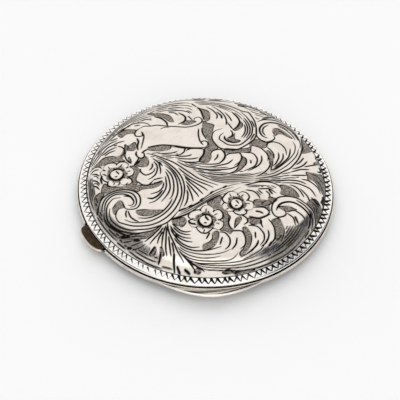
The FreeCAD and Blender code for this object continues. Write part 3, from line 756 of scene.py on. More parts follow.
        # right scroll
        [(17.9, -10), (16.9, -11.2), (16.5, -13.1), (16.9, -14.6), (17.9, -15.4), (19.4, -15.1),
         (20.2, -14.4), (20.2, -13.8), (19.8, -12.5)],
        [(16.7, -12), (17.1, -10.7), (18.3, -9.2), (20, -8.5), (22.1, -8.4), (24.2, -9), (26, -10.5),
         (27.3, -12)],
        [(20.8, -13.5), (22.5, -12.9), (24.2, -14), (25.2, -15.4), (25, -16.9)],
        [(20.6, -14), (22.1, -15.4), (22.5, -17.7)],
        [(23.4, -9.4), (25.3, -10.8), (26.8, -12.8), (27.5, -15), (27.1, -17.4)],
        [(26.4, -10.6), (27.8, -12.4), (28.4, -14.6), (28, -17)],
        # lobes under the ribbon, left to right
        [(-9.9, 9.1), (-6, 8.2), (-5.8, 7.4), (-6.2, 6.4), (-7.8, 5.5), (-12, 6)],
        [(-7.8, 7), (-9, 6.5), (-11, 6.4), (-13, 6.5)],
        [(-5.5, 7), (-4.3, 7.8), (-2.8, 7.9), (-.8, 7.6), (-.4, 6.6), (-1.2, 4.9)],
        [(-3.9, 5.6), (-4.9, 5.1), (-6.8, 5), (-8.2, 5.3)],
        [(-2.2, 4.3), (-4.1, 3.9), (-6.6, 4.1), (-8.5, 4.7)],
        [(-1.6, 3.7), (-2.2, 2.8), (-4.1, 2.6), (-6.2, 3), (-7.8, 3.9)],
        [(1.3, 5.8), (1.8, 6.8), (3, 7.4), (4.2, 7.4), (4.9, 6.2), (5.1, 4.9), (4.5, 3.5), (3.4, 2.2),
         (1.4, 1.8), (-1, 1.9), (-3.6, 2.2), (-6, 2.6)],
        [(3.2, 5.6), (2.9, 4.4), (2, 3.2)],
        [(5.5, 5.1), (6.1, 5.8), (8, 6.2), (9.2, 6.2), (9.6, 4.7), (9, 3), (7.4, 1.4)],
        [(7.2, 3.7), (5.7, 2.2), (3.4, 1.4), (.9, .8), (-2, 1)],
        [(10, 6.6), (11, 6.6), (12.7, 6.4), (13.6, 5.1), (13.8, 3.7), (13.1, 1.8), (11.6, .6), (9.8, -.5)],
        [(10.4, 4.7), (10.8, 3.7), (10.6, 2.2), (10, 1.2)],
        [(12, 3.7), (12, 2.4)],
        [(12.9, 9.5), (14.8, 8.9), (16.2, 7.4), (16.9, 5.8), (16.7, 3.7)],
        [(17.1, 3.7), (17.2, 2.4), (16.5, .8), (15, -.9), (13.1, -2.2)],
        [(15.1, 5.8), (15, 3.9), (14.2, 2.2), (12.7, .8), (11, -.3)],
        [(16.9, 9.7), (17.2, 10.8), (18.8, 11.6), (20.4, 11.2), (21.5, 10.1), (22.1, 8.5), (22.1, 6.6)],
        [(16.9, 9.3), (17.9, 8), (18.5, 6.6), (18.5, 4.9)],
        # middle sweep to the right
        [(8.4, 1.4), (6.4, .3), (3.4, -.2), (0, -.1), (-3, .6)],
        [(9, 3), (8.4, 1.6), (7.2, .6)],
        [(-8, 3.2), (-5.3, 1.2), (-1.6, .1), (1.3, -.5), (3.8, -.5)],
        [(-3, -.7), (-.3, -1.3), (2.6, -1.9), (5.9, -1.5), (8, -.1)],
        [(30.2, 1.6), (31.4, 2.4), (31.9, 4)],
        # fan at the right, from the top
        [(27.2, 15.3), (27, 12), (26.8, 9.9), (26.1, 7.4), (25.1, 5.2), (23.8, 3.2), (22.5, 1.6), (20.7, .3),
         (18.8, -1.1), (16.4, -2.1), (14.5, -2.6), (12.7, -3.1)],
        [(23.4, 9.5), (23.1, 7.5), (22.4, 5.6), (21, 3.8), (19.6, 2.2), (18.2, 1), (17.1, .3)],
        [(21.2, 7.3), (21, 5.4), (20.2, 3.8), (19.1, 2.4), (18.3, 1.6)],
        [(19.9, 7.4), (19.9, 5.8), (19.4, 4.3), (18.7, 2.9), (18, 2.1)],
        [(26.9, 6.3), (25.7, 4.5), (24.5, 3.3)],
        [(27.8, 5.1), (26.4, 3.3), (24.8, 2.2), (23.2, 1.5)],
        [(28, 1.9), (25.8, 1.7), (24.3, 1.1), (22.7, .3)],
        [(27.1, -.3), (24.7, -.6), (22.6, -.9)],
        [(26.6, -3.5), (25.4, -2.9), (23.9, -2.6), (21.7, -2.7), (19.5, -3.1), (16.2, -3.5), (12.6, -3.8)],
        [(28.9, -7.4), (28.2, -6), (27.4, -5), (26, -4.2), (24.2, -3.6), (22, -3.6), (19.8, -3.9)],
        [(25.6, -8.2), (24.9, -6.5), (24.1, -5.3), (23.1, -4.6), (22, -4.3)],
        [(27, -9.4), (26.6, -7.9), (25.8, -6.6), (24.8, -5.3)],
        [(29.9, -9.6), (29.3, -9.4), (28.4, -8.8), (27.5, -8)],
        [(25.5, -1.9), (27.3, -2.2), (28.7, -3.2), (29.9, -4.4), (30.5, -5.9)],
        [(26.7, 2.8), (29, 3.7), (31, 5)],
        # leaf over the right flower
        [(10, -5.3), (14.2, -4), (17.1, -4), (19, -4.9), (19.6, -5.7)],
        [(13.3, -6.5), (15.2, -6.3), (16.5, -6.3), (18.1, -7.6)],
        [(13.4, -6.9), (14.4, -8)],
        [(10, -7), (12, -7.4), (13.2, -8.6), (13.6, -9.8)],
        [(15.4, -7), (16.2, -8), (16.3, -9)],
        # upper left leaves
        [(-27.3, 12.3), (-25, 15.2), (-22.3, 17.8), (-20.2, 19.6), (-17.8, 20), (-16.1, 19.6), (-15, 18.5)],
        [(-19.4, 18.8), (-17.8, 19)],
        [(-17.8, 20.7), (-16.1, 21.3), (-14.4, 20.8)],
        [(-22.1, 12.8), (-24, 12.3), (-25.7, 11.3), (-27.3, 10), (-31, 4)],
        [(-9.7, 23.8), (-8.2, 23.6), (-7, 22.3)],
        [(-9.9, 24.4), (-6.8, 24.6), (-4.7, 24), (-3.7, 23)],
        [(-9.9, 25.7), (-7.6, 26), (-5.3, 25.7)],
        [(-9, 27), (-6.8, 27)],
        [(-3.2, 27.8), (-1.8, 26.1)],
        [(-4.4, 21.9), (-3.2, 20)],
        # upper middle scroll
        [(2, 28.5), (7, 27), (11, 24.5), (12.7, 24), (13.5, 22.5), (14.3, 19.8), (14.5, 16.7), (14.2, 13.8),
         (12.9, 11.3), (9.9, 8.5), (8, 7.5), (5.7, 7.5), (3.8, 8.2), (2.4, 10.3), (1.9, 12.1), (2.2, 14),
         (3, 15.2), (5, 16.2)],
        [(10.6, 24.2), (12.3, 21.5), (13.3, 18.2), (13.3, 15.7), (12.5, 13.2), (9.9, 9.9), (8, 9.3),
         (6.1, 9.5), (4.7, 10.8), (3.9, 11.7), (4.2, 13.2), (5.3, 14.4)],
        [(7.2, 15.5), (7.7, 14.4), (7.4, 13.2), (6.3, 12.3)],
        [(3.6, 20.5), (3.8, 22.3), (2.6, 24.6), (.9, 26.1)],
        [(6.1, 17.8), (6.3, 19.6), (5.9, 21.9), (4.7, 24.2), (2.6, 26.5)],
        [(7.8, 19.6), (7.2, 21.5), (6.1, 23.6)],
        [(7.8, 16.1), (6.5, 19)],
        # upper right scroll
        [(14.4, 17.3), (14.3, 14), (15, 12.5), (16.2, 11.5), (17.5, 11.5), (19, 12.5), (19.4, 13.6),
         (19, 14.4)],
        [(15, 19.8), (16.7, 20.9), (19.4, 21.1), (21.7, 20.5), (23.5, 19.2), (25, 17.3), (26, 14.8),
         (26.5, 12.1), (26.2, 10)],
        [(16.8, 14), (16.2, 15.7), (16.7, 17.5), (18.1, 18.8)],
    ],
    "fine": [
        # strands of the stem
        [(-8, -13.9), (-6.4, -13.2), (-4.8, -12.5), (-3.2, -11.6), (-1.8, -10.5), (-.3, -9.2), (1, -8.1),
         (2.7, -7.1), (4.6, -6.2), (6.8, -5.4), (8.8, -4.9)],
        [(-7.7, -14.5), (-5.7, -13.5), (-3.8, -12.3), (-2, -11.2), (-.2, -9.8), (1.6, -8.6), (3.4, -7.6),
         (5.2, -6.8), (7, -6.1)],
        [(-8.2, -15.2), (-6.1, -14.3), (-4, -13.1), (-2.2, -11.9), (-.4, -10.6), (1.4, -9.3), (3.4, -8.2),
         (5.2, -7.4)],
        [(-9.9, -16.4), (-8.2, -15.7), (-6.4, -15.1), (-4.6, -14.1), (-2.8, -12.8), (-1, -11.5), (.8, -10.2),
         (2.6, -9.1), (5.2, -8.1), (8.8, -6.2)],
        [(24, -1.6), (22.2, -1.8), (19.9, -2.4)],
        # sweeps along the front rim
        [(-8, -24.7), (-7.2, -25.5), (-5.6, -26.4), (-2.8, -27.1), (.2, -27.2), (3, -26.7), (5.6, -25.5)],
        [(-8.6, -24.7), (-7.6, -25.9), (-5.4, -27.4), (-2.6, -28.2), (.2, -28.2), (2.7, -27.7)],
        [(-7.7, -26.5), (-7, -27.2), (-5.2, -28.3), (-2.9, -28.9), (-.4, -29.1), (2.2, -29.1), (4.2, -28.9),
         (5.8, -28.2), (7.1, -26.6)],
        # in the fan at the right
        [(25.8, 9.8), (25.2, 7.5), (24.3, 5.8), (23, 4), (21.5, 2.3), (19.6, .6), (17.9, -.6), (16, -1.4),
         (13.8, -2)],
        [(24.3, 12.6), (24.9, 10.8), (24.6, 8.6), (23.8, 6.8), (22.5, 4.9), (21.2, 3.4), (19.9, 2),
         (18.4, .7), (17, -.3)],
        [(28.6, .4), (30.4, -.2), (31.6, -1.6)],
        [(29.4, -1.6), (30.8, -2.8), (31.4, -4.4)],
        [(27.6, -9.6), (29, -10.6), (29.8, -12)],
        [(28.4, -9.2), (29.8, -10.4)],
        [(-21.1, -3.2), (-21.9, -4)],
        [(-23.4, -3.3), (-23.6, -3.9)],
        [(-1.1, -15.5), (-.1, -17.1)],
        [(-30.4, .8), (-29.6, .3), (-28.9, -.9)],
        [(-30.2, -1.8), (-29.4, -2.4), (-28.7, -3.4)],
        [(12.8, -7.2), (14, -8.6)],
        [(-24.6, 16.4), (-22.6, 18), (-20.4, 18.8)],
        [(20.8, 16.8), (22.4, 15.4)],
        [(13.4, 24.5), (15.4, 23.7), (17.6, 23)],
        [(14.6, 23.2), (16, 22.6), (17, 22.4)],
        [(14.6, 21.9), (15.2, 21.2), (15.8, 21.4)],
        [(12, 26), (14, 25.2), (16, 24.6)],
        [(9.6, -5.4), (13.4, -5.3), (16.8, -5.2)],
        [(-12.2, 16.6), (-11, 17.2), (-9.6, 17)],
    ],
    "hair": [
        # along the front rim, from the fan to the right scroll
        [(-6.6, -27.9), (-4.9, -29), (-2.4, -29.6), (.6, -29.7), (4.2, -29.5), (7.6, -28.9), (11, -27.6),
         (13.9, -25.9)],
        [(-5.2, -28.9), (-2.7, -29.8), (.4, -30.1), (3.7, -30.1), (6.8, -29.8), (9.9, -28.9), (13.1, -27.5),
         (15.7, -25.9)],
        [(-4.7, -29.4), (-2.2, -30.3), (.6, -30.6), (4.2, -30.6), (7.6, -30.2), (10.9, -29.3),
         (14.6, -27.6), (18.5, -25.2), (21.5, -22.5), (23.6, -19.9), (25.2, -17.2)],
        [(-4.2, -29.9), (-1.6, -30.9), (1.1, -31.1), (4.2, -31.1), (8.1, -30.7), (12, -29.6), (15.5, -28),
         (19.3, -25.6), (22.4, -22.8), (24.6, -20), (26.2, -17)],
        [(8.1, -28.5), (10.7, -27.2), (13.1, -25.4), (14.7, -22.3)],
        [(7.6, -28), (9.4, -26.9), (11, -25.6), (12.2, -23.1)],
    ],
}

# Bundles of cuts that run together: count, width, first edge, last edge
bundles = [
    # close lines over the stem's fan
    (7, "fine", [(-8.8, 4.6), (-6, 3.4), (-3, 2.8), (-.4, 2.7)],
     [(-5.2, 1.2), (-2.6, -.5), (.6, -1.6), (4, -2), (8, -1.8), (12, -1.2)]),
    (5, "fine", [(-4, .2), (-1, -1.2), (3, -2.3), (7, -2.4), (12, -1.6), (16, .2)],
     [(-2.6, -1.4), (-.6, -2.9), (1.6, -4.1), (4, -4.7), (7, -4.8), (12, -4.3), (17, -3.9)]),
    (4, "fine", [(-15.6, 6.6), (-13, 6.9), (-10, 6.4), (-7.4, 6.6)],
     [(-14.8, 5), (-12, 4.8), (-9.6, 4.6), (-7.8, 4.9)]),
    # along the front rim
    (9, "fine", [(15.2, -24.8), (17.4, -22.6), (19.2, -20.2), (20.4, -18)],
     [(14.6, -28.9), (18.4, -26.6), (22, -23.6), (24.6, -20.6), (27, -16.6)]),
    (4, "fine", [(-23.4, -20.6), (-21.6, -20.9), (-19.6, -20.8), (-17, -21)],
     [(-20.4, -24), (-19, -24.2), (-17.6, -23.9), (-16.6, -23.3)]),
    (3, "fine", [(-24, -21), (-21.6, -23.4), (-18.6, -26), (-15.4, -28.2), (-12.4, -29.6)],
     [(-21.4, -22.8), (-19.8, -23.6), (-17.8, -25), (-15.6, -26.4), (-13.4, -27.4)]),
    # left scroll and the left rim
    (4, "fine", [(-31.8, 1), (-31.5, -4.4), (-30.5, -9), (-28.7, -13.7), (-26.1, -18.1), (-22.7, -22.3)],
     [(-30.4, 0), (-30.2, -4.2), (-29.2, -8.6), (-27.4, -13), (-24.9, -17.3), (-21.6, -21.2)]),
    (2, "fine", [(-22.4, -22.5), (-18.5, -25.8), (-13.6, -28.7), (-8.6, -30.6)],
     [(-22, -22), (-18.2, -25.2), (-14.6, -27.4)]),
    (5, "line", [(-31.6, 5.5), (-30.6, 8), (-29, 10.4), (-26.4, 13), (-24, 14.2)],
     [(-30.6, 4.6), (-29.2, 6.6), (-27.6, 8.4), (-26, 9.8), (-24.2, 10.6)]),
    # leaves along the upper rim
    (6, "fine", [(-30, 9.6), (-27.2, 15.2), (-23.2, 20.4), (-18.4, 24.4), (-13, 27)],
     [(-26.6, 12), (-23.8, 16.2), (-20.6, 19.2), (-17.4, 20.9), (-14.6, 21.6)]),
    (4, "fine", [(-15, 23.8), (-11, 24.8), (-7.5, 25.1), (-4.4, 24.4), (-3.2, 23.2)],
     [(-13, 26.6), (-9, 27.8), (-5, 28.2), (-2.6, 27.4)]),
    (5, "fine", [(-2.4, 28.4), (1.6, 28.6), (6, 27.6), (10, 25.6), (12.6, 23.4)],
     [(-1.2, 27.2), (2, 27.2), (5.4, 25.6), (8.6, 22.8), (10.4, 19.6)]),
    (5, "line", [(11.4, 23.6), (13.2, 20.6), (14, 17.4), (13.8, 14.6), (12.4, 11.6)],
     [(9.6, 21.6), (11, 19), (11.4, 16.6), (11, 14.4), (10, 12.6)]),
    (2, "heavy", [(9, 28.4), (13, 26.8), (17, 24.8), (19.6, 23)],
     [(10, 27.2), (13.4, 25.9), (16.6, 24.2), (19, 22.8)]),
    (5, "fine", [(20.6, 20.8), (23.4, 19), (25.2, 16.4), (26.2, 13.4)],
     [(20.8, 18.6), (23, 17), (24.6, 14.8), (25.2, 13)]),
    # leaves at the back, above the hinge
    (6, "fine", [(-21, 23.6), (-15, 27.8), (-8, 30.6), (-1, 31.6), (3, 31.2)],
     [(-13.6, 27.6), (-9, 29), (-5, 29.6), (-1.6, 29.4), (.4, 29)]),
    (6, "fine", [(.6, 31.7), (8, 30.6), (15, 27.8), (21.4, 23.4)],
     [(1.6, 29.2), (6, 28.9), (11.6, 27.9), (15.4, 26.2)]),
    (4, "fine", [(20, 24.6), (24, 20.8), (27.4, 16), (29.6, 11.4)],
     [(21, 22.6), (23.6, 20.2), (26, 17.4), (26.6, 18)]),
    # right scroll and the right rim
    (8, "fine", [(20.2, -17.8), (19.8, -20.4), (18.6, -22.6), (17, -24.4)],
     [(26.6, -15.8), (25.6, -18.4), (23.6, -21.2), (20.8, -23.8), (17.6, -25.8)]),
    (4, "fine", [(27.2, -10.6), (28, -13), (27.8, -15.4), (26.8, -17.6)],
     [(29.6, -10.8), (29.4, -13), (28.6, -15.4), (27.2, -18)]),
    (5, "fine", [(24.6, .9), (21, -.4), (17, -1.9), (13, -2.6)],
     [(25, -3.4), (21, -3.6), (17, -3.9), (13, -4.2)]),
    (3, "fine", [(10.6, -4.8), (14, -4.3), (17, -4.4), (19, -5.3)], [(10.4, -6), (14, -5.7), (16, -5.6),
     (17.6, -6.2)]),
]


def smoothRun(points, closed=False):
    # Catmull-Rom run through the given points, its longest stretch sampled about every sampleStep
    p = np.asarray(points, float)
    ends = (p[-1:], p[:2]) if closed else (2 * p[:1] - p[1:2], 2 * p[-1:] - p[-2:-1])
    p = np.vstack([ends[0], p, ends[1]])
    a, b, c, d = p[:-3], p[1:-2], p[2:-1], p[3:]
    length = np.linalg.norm(c - b, axis=1).max()
    t = np.linspace(0, 1, max(4, int(length / engraving["sampleStep"])), endpoint=False)[:, None, None]
    square, cube = 2 * a - 5 * b + 4 * c - d, 3 * b - a - 3 * c + d
    run = 0.5 * (2 * b + (c - a) * t + square * t ** 2 + cube * t ** 3)
    run = run.transpose(1, 0, 2).reshape(-1, 2)
    return run if closed else np.vstack([run, c[-1:]])


def stroke(field, run, width, closed=False):
    # Graver's cut: half width swells from a point, then tapers, or comes and goes three times round a closed
    # one; depth falls off linearly to the cut's edges
    e = engraving
    along = np.linspace(0, 1, len(run))
    swell = np.clip(np.minimum(along / e["swellIn"], (1 - along) / e["taperOut"]), 0, 1) ** e["swellPower"]
    if closed:
        swell = .5 + .5 * np.sin(6 * np.pi * along + run[0].sum())
    half = width / 2 * (e["endWidth"] + (1 - e["endWidth"]) * swell)
    k = int(np.ceil(width / 2 / e["spacing"])) + 1
    near = np.arange(-k, k + 1)
    dx, dy = np.meshgrid(near, near)
    place = (run + e["reach"]) / e["spacing"]
    cell = np.rint(place).astype(int)
    ix = cell[:, :1] + dx.ravel()
    iy = cell[:, 1:] + dy.ravel()
    away = np.hypot(ix - place[:, :1], iy - place[:, 1:]) * e["spacing"]
    deep = np.clip(half[:, None] - away, 0, None)
    inside = (ix >= 0) & (iy >= 0) & (ix < len(field)) & (iy < len(field))
    np.maximum.at(field, (iy[inside], ix[inside]), deep[inside])


def fill(mask, outline, value=1.0):
    # Even-odd test of the field's points against a closed outline
    e = engraving
    p = smoothRun(outline, True)[::3]
    low = np.clip(((p.min(0) + e["reach"]) / e["spacing"]).astype(int), 0, len(mask) - 2)
    high = np.clip(((p.max(0) + e["reach"]) / e["spacing"]).astype(int) + 2, 1, len(mask))
    x = np.arange(low[0], high[0]) * e["spacing"] - e["reach"]
    y = np.arange(low[1], high[1]) * e["spacing"] - e["reach"]
    q = np.roll(p, -1, 0)
    spans = (p[:, 1] <= y[:, None]) != (q[:, 1] <= y[:, None])
    rise = np.where(q[:, 1] == p[:, 1], 1, q[:, 1] - p[:, 1])
    cross = p[:, 0] + (y[:, None] - p[:, 1]) / rise * (q[:, 0] - p[:, 0])
    cross = np.where(spans, cross, np.inf)
    odd = np.zeros((len(y), len(x)), bool)
    for edge in np.sort(cross, axis=1).T:
        if not np.isfinite(edge).any():
            break
        odd ^= x[None, :] >= edge[:, None]
    mask[low[1]:high[1], low[0]:high[0]][odd] = value


def soften(field, rounds=1):
    # each point takes half its own value and a quarter of each neighbour's, along rows and then columns
    for _ in range(rounds):
        field = (np.roll(field, 1, 0) + 2 * field + np.roll(field, -1, 0)) / 4
        field = (np.roll(field, 1, 1) + 2 * field + np.roll(field, -1, 1)) / 4
    return field


# A flower's proportions, in radii of its button where no other unit is given
flowerShape = {
    "notch": 0.6,             # inner end of the cut from a notch, besides
    "notchShare": 0.55,       # this share of the notch's distance from the centre
    "veinRoot": 1.55,
    "veinAside": 0.4,         # mm off the petal's middle
    "veinLength": 0.9,        # mm
    "veinLean": 0.1,          # mm, half way
    "zone": 1.48,             # sunk about the button, in five waves
    "zoneWave": 0.12,
    "tickEnds": (1.6, 1.35, 1.7, 1.4, 1.5, 1.75, 1.3, 1.6, 1.45, 1.55),
    "tickLength": 0.3,
    "bare": 0.85,             # polished top of the button
    "ring": 0.95,
    "shadow": (1.08, 14, 30),  # radius of the heavy arc below the ring, its first and last twelve-degree step
    "light": (1.1, 2, 11),    # the same of the fine arc above it
    "dash": [(-.1, .6), (.15, .3), (.35, -.05)],
    "dot": [(-.2, -.45), (.1, -.42)],
}


def drawFlower(cut, mattingAndPaintedShade, centre, button, edge):
    # petals bare inside their edge, parted by a short cut from each notch and veined once; about the button a
    # sunk zone with uneven ticks across its edge; the button itself shaded by a dash and a dot
    e, f = engraving, flowerShape
    edge, centre = np.array(edge), np.array(centre)
    fill(mattingAndPaintedShade, edge, 0.0)
    stroke(cut, smoothRun(edge, True), e["line"], True)
    away = np.hypot(*(edge - centre).T)[:, None]
    way = (edge - centre) / away
    before, after = np.roll(away, 1), np.roll(away, -1)
    for k in np.flatnonzero((away < before) & (away <= after)):
        inner = centre + way[k] * (away[k] * f["notchShare"] + button * f["notch"])
        stroke(cut, smoothRun([edge[k], inner]), e["line"])
    for k in np.flatnonzero((away > before) & (away >= after)):
        aside = way[k, ::-1] * (-1, 1)
        root = centre + way[k] * button * f["veinRoot"] + aside * f["veinAside"]
        middle = root + way[k] * (f["veinLength"] / 2) + aside * f["veinLean"]
        stroke(cut, smoothRun([root, middle, root + way[k] * f["veinLength"]]), e["fine"])
    a = np.radians(np.arange(0, 360, 12))[:, None]
    ring = np.hstack([np.cos(a), np.sin(a)]) * button
    fill(mattingAndPaintedShade, ring * (f["zone"] + f["zoneWave"] * np.cos(5 * a + centre[0])) + centre)
    for spoke, end in zip(ring[::3], f["tickEnds"]):
        stroke(cut, smoothRun([centre + spoke * (end - f["tickLength"]), centre + spoke * end]), e["fine"])
    fill(mattingAndPaintedShade, ring * f["bare"] + centre, 0.0)
    stroke(cut, smoothRun(ring * f["ring"] + centre, True), e["line"], True)
    for width, (radius, first, last) in (("heavy", f["shadow"]), ("fine", f["light"])):
        stroke(cut, smoothRun(ring[first:last] * radius + centre), e[width])
    for mark in (f["dash"], f["dot"]):
        stroke(cut, centre + smoothRun(mark) * button, e["line"])


def roomyRuns(cut, line, clear):
    # the parts of a line where no earlier cut lies within clear of it, to either side
    e = engraving
    step = np.gradient(line, axis=0)
    aside = step[:, ::-1] * (-1, 1) / np.linalg.norm(step, axis=1)[:, None]
    free = np.ones(len(line), bool)
    for off in np.linspace(-clear, clear, e["gapProbes"]):
        cell = np.rint((line + aside * off + e["reach"]) / e["spacing"]).astype(int)
        ix, iy = cell.clip(0, len(cut) - 1).T
        free &= cut[iy, ix] == 0
    breaks = np.flatnonzero(np.diff(free)) + 1
    return [run for run, bare in zip(np.split(line, breaks), np.split(free, breaks)) if bare[0]]


def bundleEdge(points):
    run = smoothRun(points)
    return run[np.linspace(0, len(run) - 1, engraving["bundleSteps"]).astype(int)]


def drawEngraving():
    # depth of the cuts, and how far the face is matted, the shoulders darker as painted reflection, on a
    # square field seen from above; of a bundle, the edges are cut first and then the lines that halve what is
    # left, each only where it finds room
    e = engraving
    n = int(2 * e["reach"] / e["spacing"]) + 1
    cut = np.zeros((n, n))
    mattingAndPaintedShade = np.zeros((n, n))
    for outline in shadedPatches:
        fill(mattingAndPaintedShade, outline, shadedTone)
    # painted reflection on the shoulders, in the same field as the matting
    for outline in shoulderReflectionPatches:
        fill(mattingAndPaintedShade, outline, shoulderReflectionTone)
    mattingAndPaintedShade = soften(mattingAndPaintedShade, e["shadeRounds"])
    for outline in groundPatches:
        fill(mattingAndPaintedShade, outline)
        stroke(cut, smoothRun(outline, True), e["fine"], True)
    for flower in flowers:
        drawFlower(cut, mattingAndPaintedShade, *flower)
    for width, lines in cuts.items():
        for line in lines:
            stroke(cut, smoothRun(line), e[width])
    for count, width, first, last in bundles:
        a, b = bundleEdge(first), bundleEdge(last)
        order = sorted(range(count), key=lambda k: -(k & -k if 0 < k < count - 1 else count))
        for share in np.array(order) / (count - 1):
            line = smoothRun(a + (b - a) * share)
            for run in roomyRuns(cut, line, e[width] * e["gapShare"] + e["gap"]):
                if len(run) > e["shortest"] / e["sampleStep"]:
                    stroke(cut, run, e[width])
    return soften(cut), soften(mattingAndPaintedShade, 2)


lidShape = {
    "borderRadius": 32.35,    # where the crown's shoulder meets the sloping border
    "crownSlope": 12.0,       # degrees, where the crown arc turns into the shoulder arc
    "shoulderSlope": 72.0,    # degrees, at the border
    "borderRise": 0.7,
    "bevel": 0.2,
    "bevelCorner": 0.4,       # share of the bevel by which the middle of its round lies in from the rim
    "band": 0.35,             # upright edge below the bevel
    "sheet": 0.7,
    "quarterCells": 260,
    "innerStep": 10,          # the inside is this much coarser than the engraved face
    "fullCut": 0.05,          # a cut this deep is fully dark
    "slide": 0.93,            # how far the drawing slides to the front, at the top of the dome
    "slideReach": 32.6,
}


def crownArcs():
    # two tangent arcs: a shallow crown about the axis, then a tighter shoulder that ends at the border
    low, high = boxOf("lid_shell")
    s = lidShape
    borderTop = low[2] + s["band"] + s["bevel"] + s["borderRise"]
    crown, shoulder = np.radians([s["crownSlope"], s["shoulderSlope"]])
    lean = math.tan(crown / 2)
    drop = math.cos(crown) - math.cos(shoulder) - lean * (math.sin(shoulder) - math.sin(crown))
    tight = (high[2] - borderTop - s["borderRadius"] * lean) / drop
    tightR = s["borderRadius"] - tight * math.sin(shoulder)
    tightZ = borderTop - tight * math.cos(shoulder)
    meetR = tightR + tight * math.sin(crown)
    wide = meetR / math.sin(crown)
    return borderTop, meetR, (0.0, high[2] - wide, wide), (tightR, tightZ, tight)


def onCrown(r):
    # height of the crown and its slope angle at radius r
    _, meetR, wide, tight = crownArcs()
    inner = r < meetR
    centreR, centreZ, arc = (np.where(inner, a, b) for a, b in zip(wide, tight))
    slope = np.arcsin(np.clip((r - centreR) / arc, -1, 1))
    return centreZ + arc * np.cos(slope), slope


def sampled(field, x, y):
    # bilinear reading of an engraving field at points given in mm
    e = engraving
    px = np.clip((x + e["reach"]) / e["spacing"], 0, field.shape[1] - 1.001)
    py = np.clip((y + e["reach"]) / e["spacing"], 0, field.shape[0] - 1.001)
    ix, iy = px.astype(int), py.astype(int)
    fx, fy = px - ix, py - iy
    near = field[iy, ix] * (1 - fx) + field[iy, ix + 1] * fx
    far = field[iy + 1, ix] * (1 - fx) + field[iy + 1, ix + 1] * fx
    return near * (1 - fy) + far * fy


def gridNormals(points):
    # unit normals of a grid of points, from differences along its two directions
    normal = np.cross(np.gradient(points, axis=1), np.gradient(points, axis=0))
    return normal / np.linalg.norm(normal, axis=2, keepdims=True)


def gridQuads(index):
    # quads of an index grid, counter-clockwise when rows run up and columns run right
    return np.stack([index[:-1, :-1], index[:-1, 1:], index[1:, 1:], index[1:, :-1]], -1).reshape(-1, 4)


def aroundGrid(index):
    # indices round a grid's edge, counter-clockwise, each corner once
    return np.concatenate([index[0, :-1], index[:-1, -1], index[-1, :0:-1], index[:0:-1, 0]])


def lidCrown(cut, mattingAndPaintedShade):
    # a square grid laid on the disc: squares about the centre become circles, their sides equal arcs;
    # each point is raised to the crown's arcs, then sunk along the normal by the engraving's depth; the
    # drawing slides to the front by the root of one less the fourth power of the radius over slideReach
    s = lidShape
    half = s["quarterCells"]
    u, v = np.meshgrid(*[np.linspace(-1, 1, 2 * half + 1)] * 2)
    wide = np.abs(u) > np.abs(v)
    ring = np.where(wide, u, v)
    safe = np.where(ring == 0, 1, ring)
    turn = np.where(wide, v / safe * math.pi / 4, math.pi / 2 - u / safe * math.pi / 4)
    x = s["borderRadius"] * ring * np.cos(turn)
    y = s["borderRadius"] * ring * np.sin(turn)
    r = np.hypot(x, y)
    z, slope = onCrown(r)
    out = np.sin(slope) / np.maximum(r, 1e-9)
    way = np.stack([x * out, y * out, np.cos(slope)], -1)
    face = np.stack([x, y, z], -1)
    drawnY = y + s["slide"] * np.sqrt(1 - (r / s["slideReach"]) ** 4)
    depth, matteAndShadeTone = sampled(cut, x, drawnY), sampled(mattingAndPaintedShade, x, drawnY)
    sunk = depth * engraving["wall"] + matteAndShadeTone * engraving["groundDepth"]
    top = face - way * sunk[..., None]
    normals = gridNormals(top)
    dark = np.clip(depth / s["fullCut"], 0, 1)
    step = s["innerStep"]
    names = {"front_left": (0, 0), "front_right": (0, 1), "back_left": (1, 0), "back_right": (1, 1)}
    for name, (row, column) in names.items():
        rows = slice(row * half, row * half + half + 1)
        columns = slice(column * half, column * half + half + 1)
        coarse = (slice(rows.start, rows.stop, step), slice(columns.start, columns.stop, step))
        inside = face[coarse] - way[coarse] * s["sheet"]
        topIndex = np.arange((half + 1) ** 2).reshape(half + 1, half + 1)
        lowIndex = np.arange(inside[..., 0].size).reshape(inside.shape[:2]) + topIndex.size
        quads = np.vstack([gridQuads(topIndex), gridQuads(lowIndex)[:, ::-1]])
        edge, lowEdge = aroundGrid(topIndex), aroundGrid(lowIndex)
        walls = []
        for k, corner in enumerate(lowEdge):
            above = np.take(edge, range((k + 1) * step, k * step - 1, -1), mode="wrap")
            walls.append([corner, lowEdge[(k + 1) % len(lowEdge)], *above])
        points = np.vstack([top[rows, columns].reshape(-1, 3), inside.reshape(-1, 3)])
        facing = np.vstack([normals[rows, columns].reshape(-1, 3), -way[coarse].reshape(-1, 3)])
        bare = np.zeros(lowIndex.size)
        values = {"cut": np.concatenate([dark[rows, columns].ravel(), bare]),
                  "mattingAndPaintedShade": np.concatenate([matteAndShadeTone[rows, columns].ravel(), bare])}
        piece = surfacePiece("lid_crown_" + name, points, quads, finishes["engraved"], "lid", walls,
                             values, facing)
        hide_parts("lid_shell")


engraved = drawEngraving()
print("engraving drawn:", sum(map(len, cuts.values())), "single cuts and", len(bundles), "bundles")
lidCrown(*engraved)


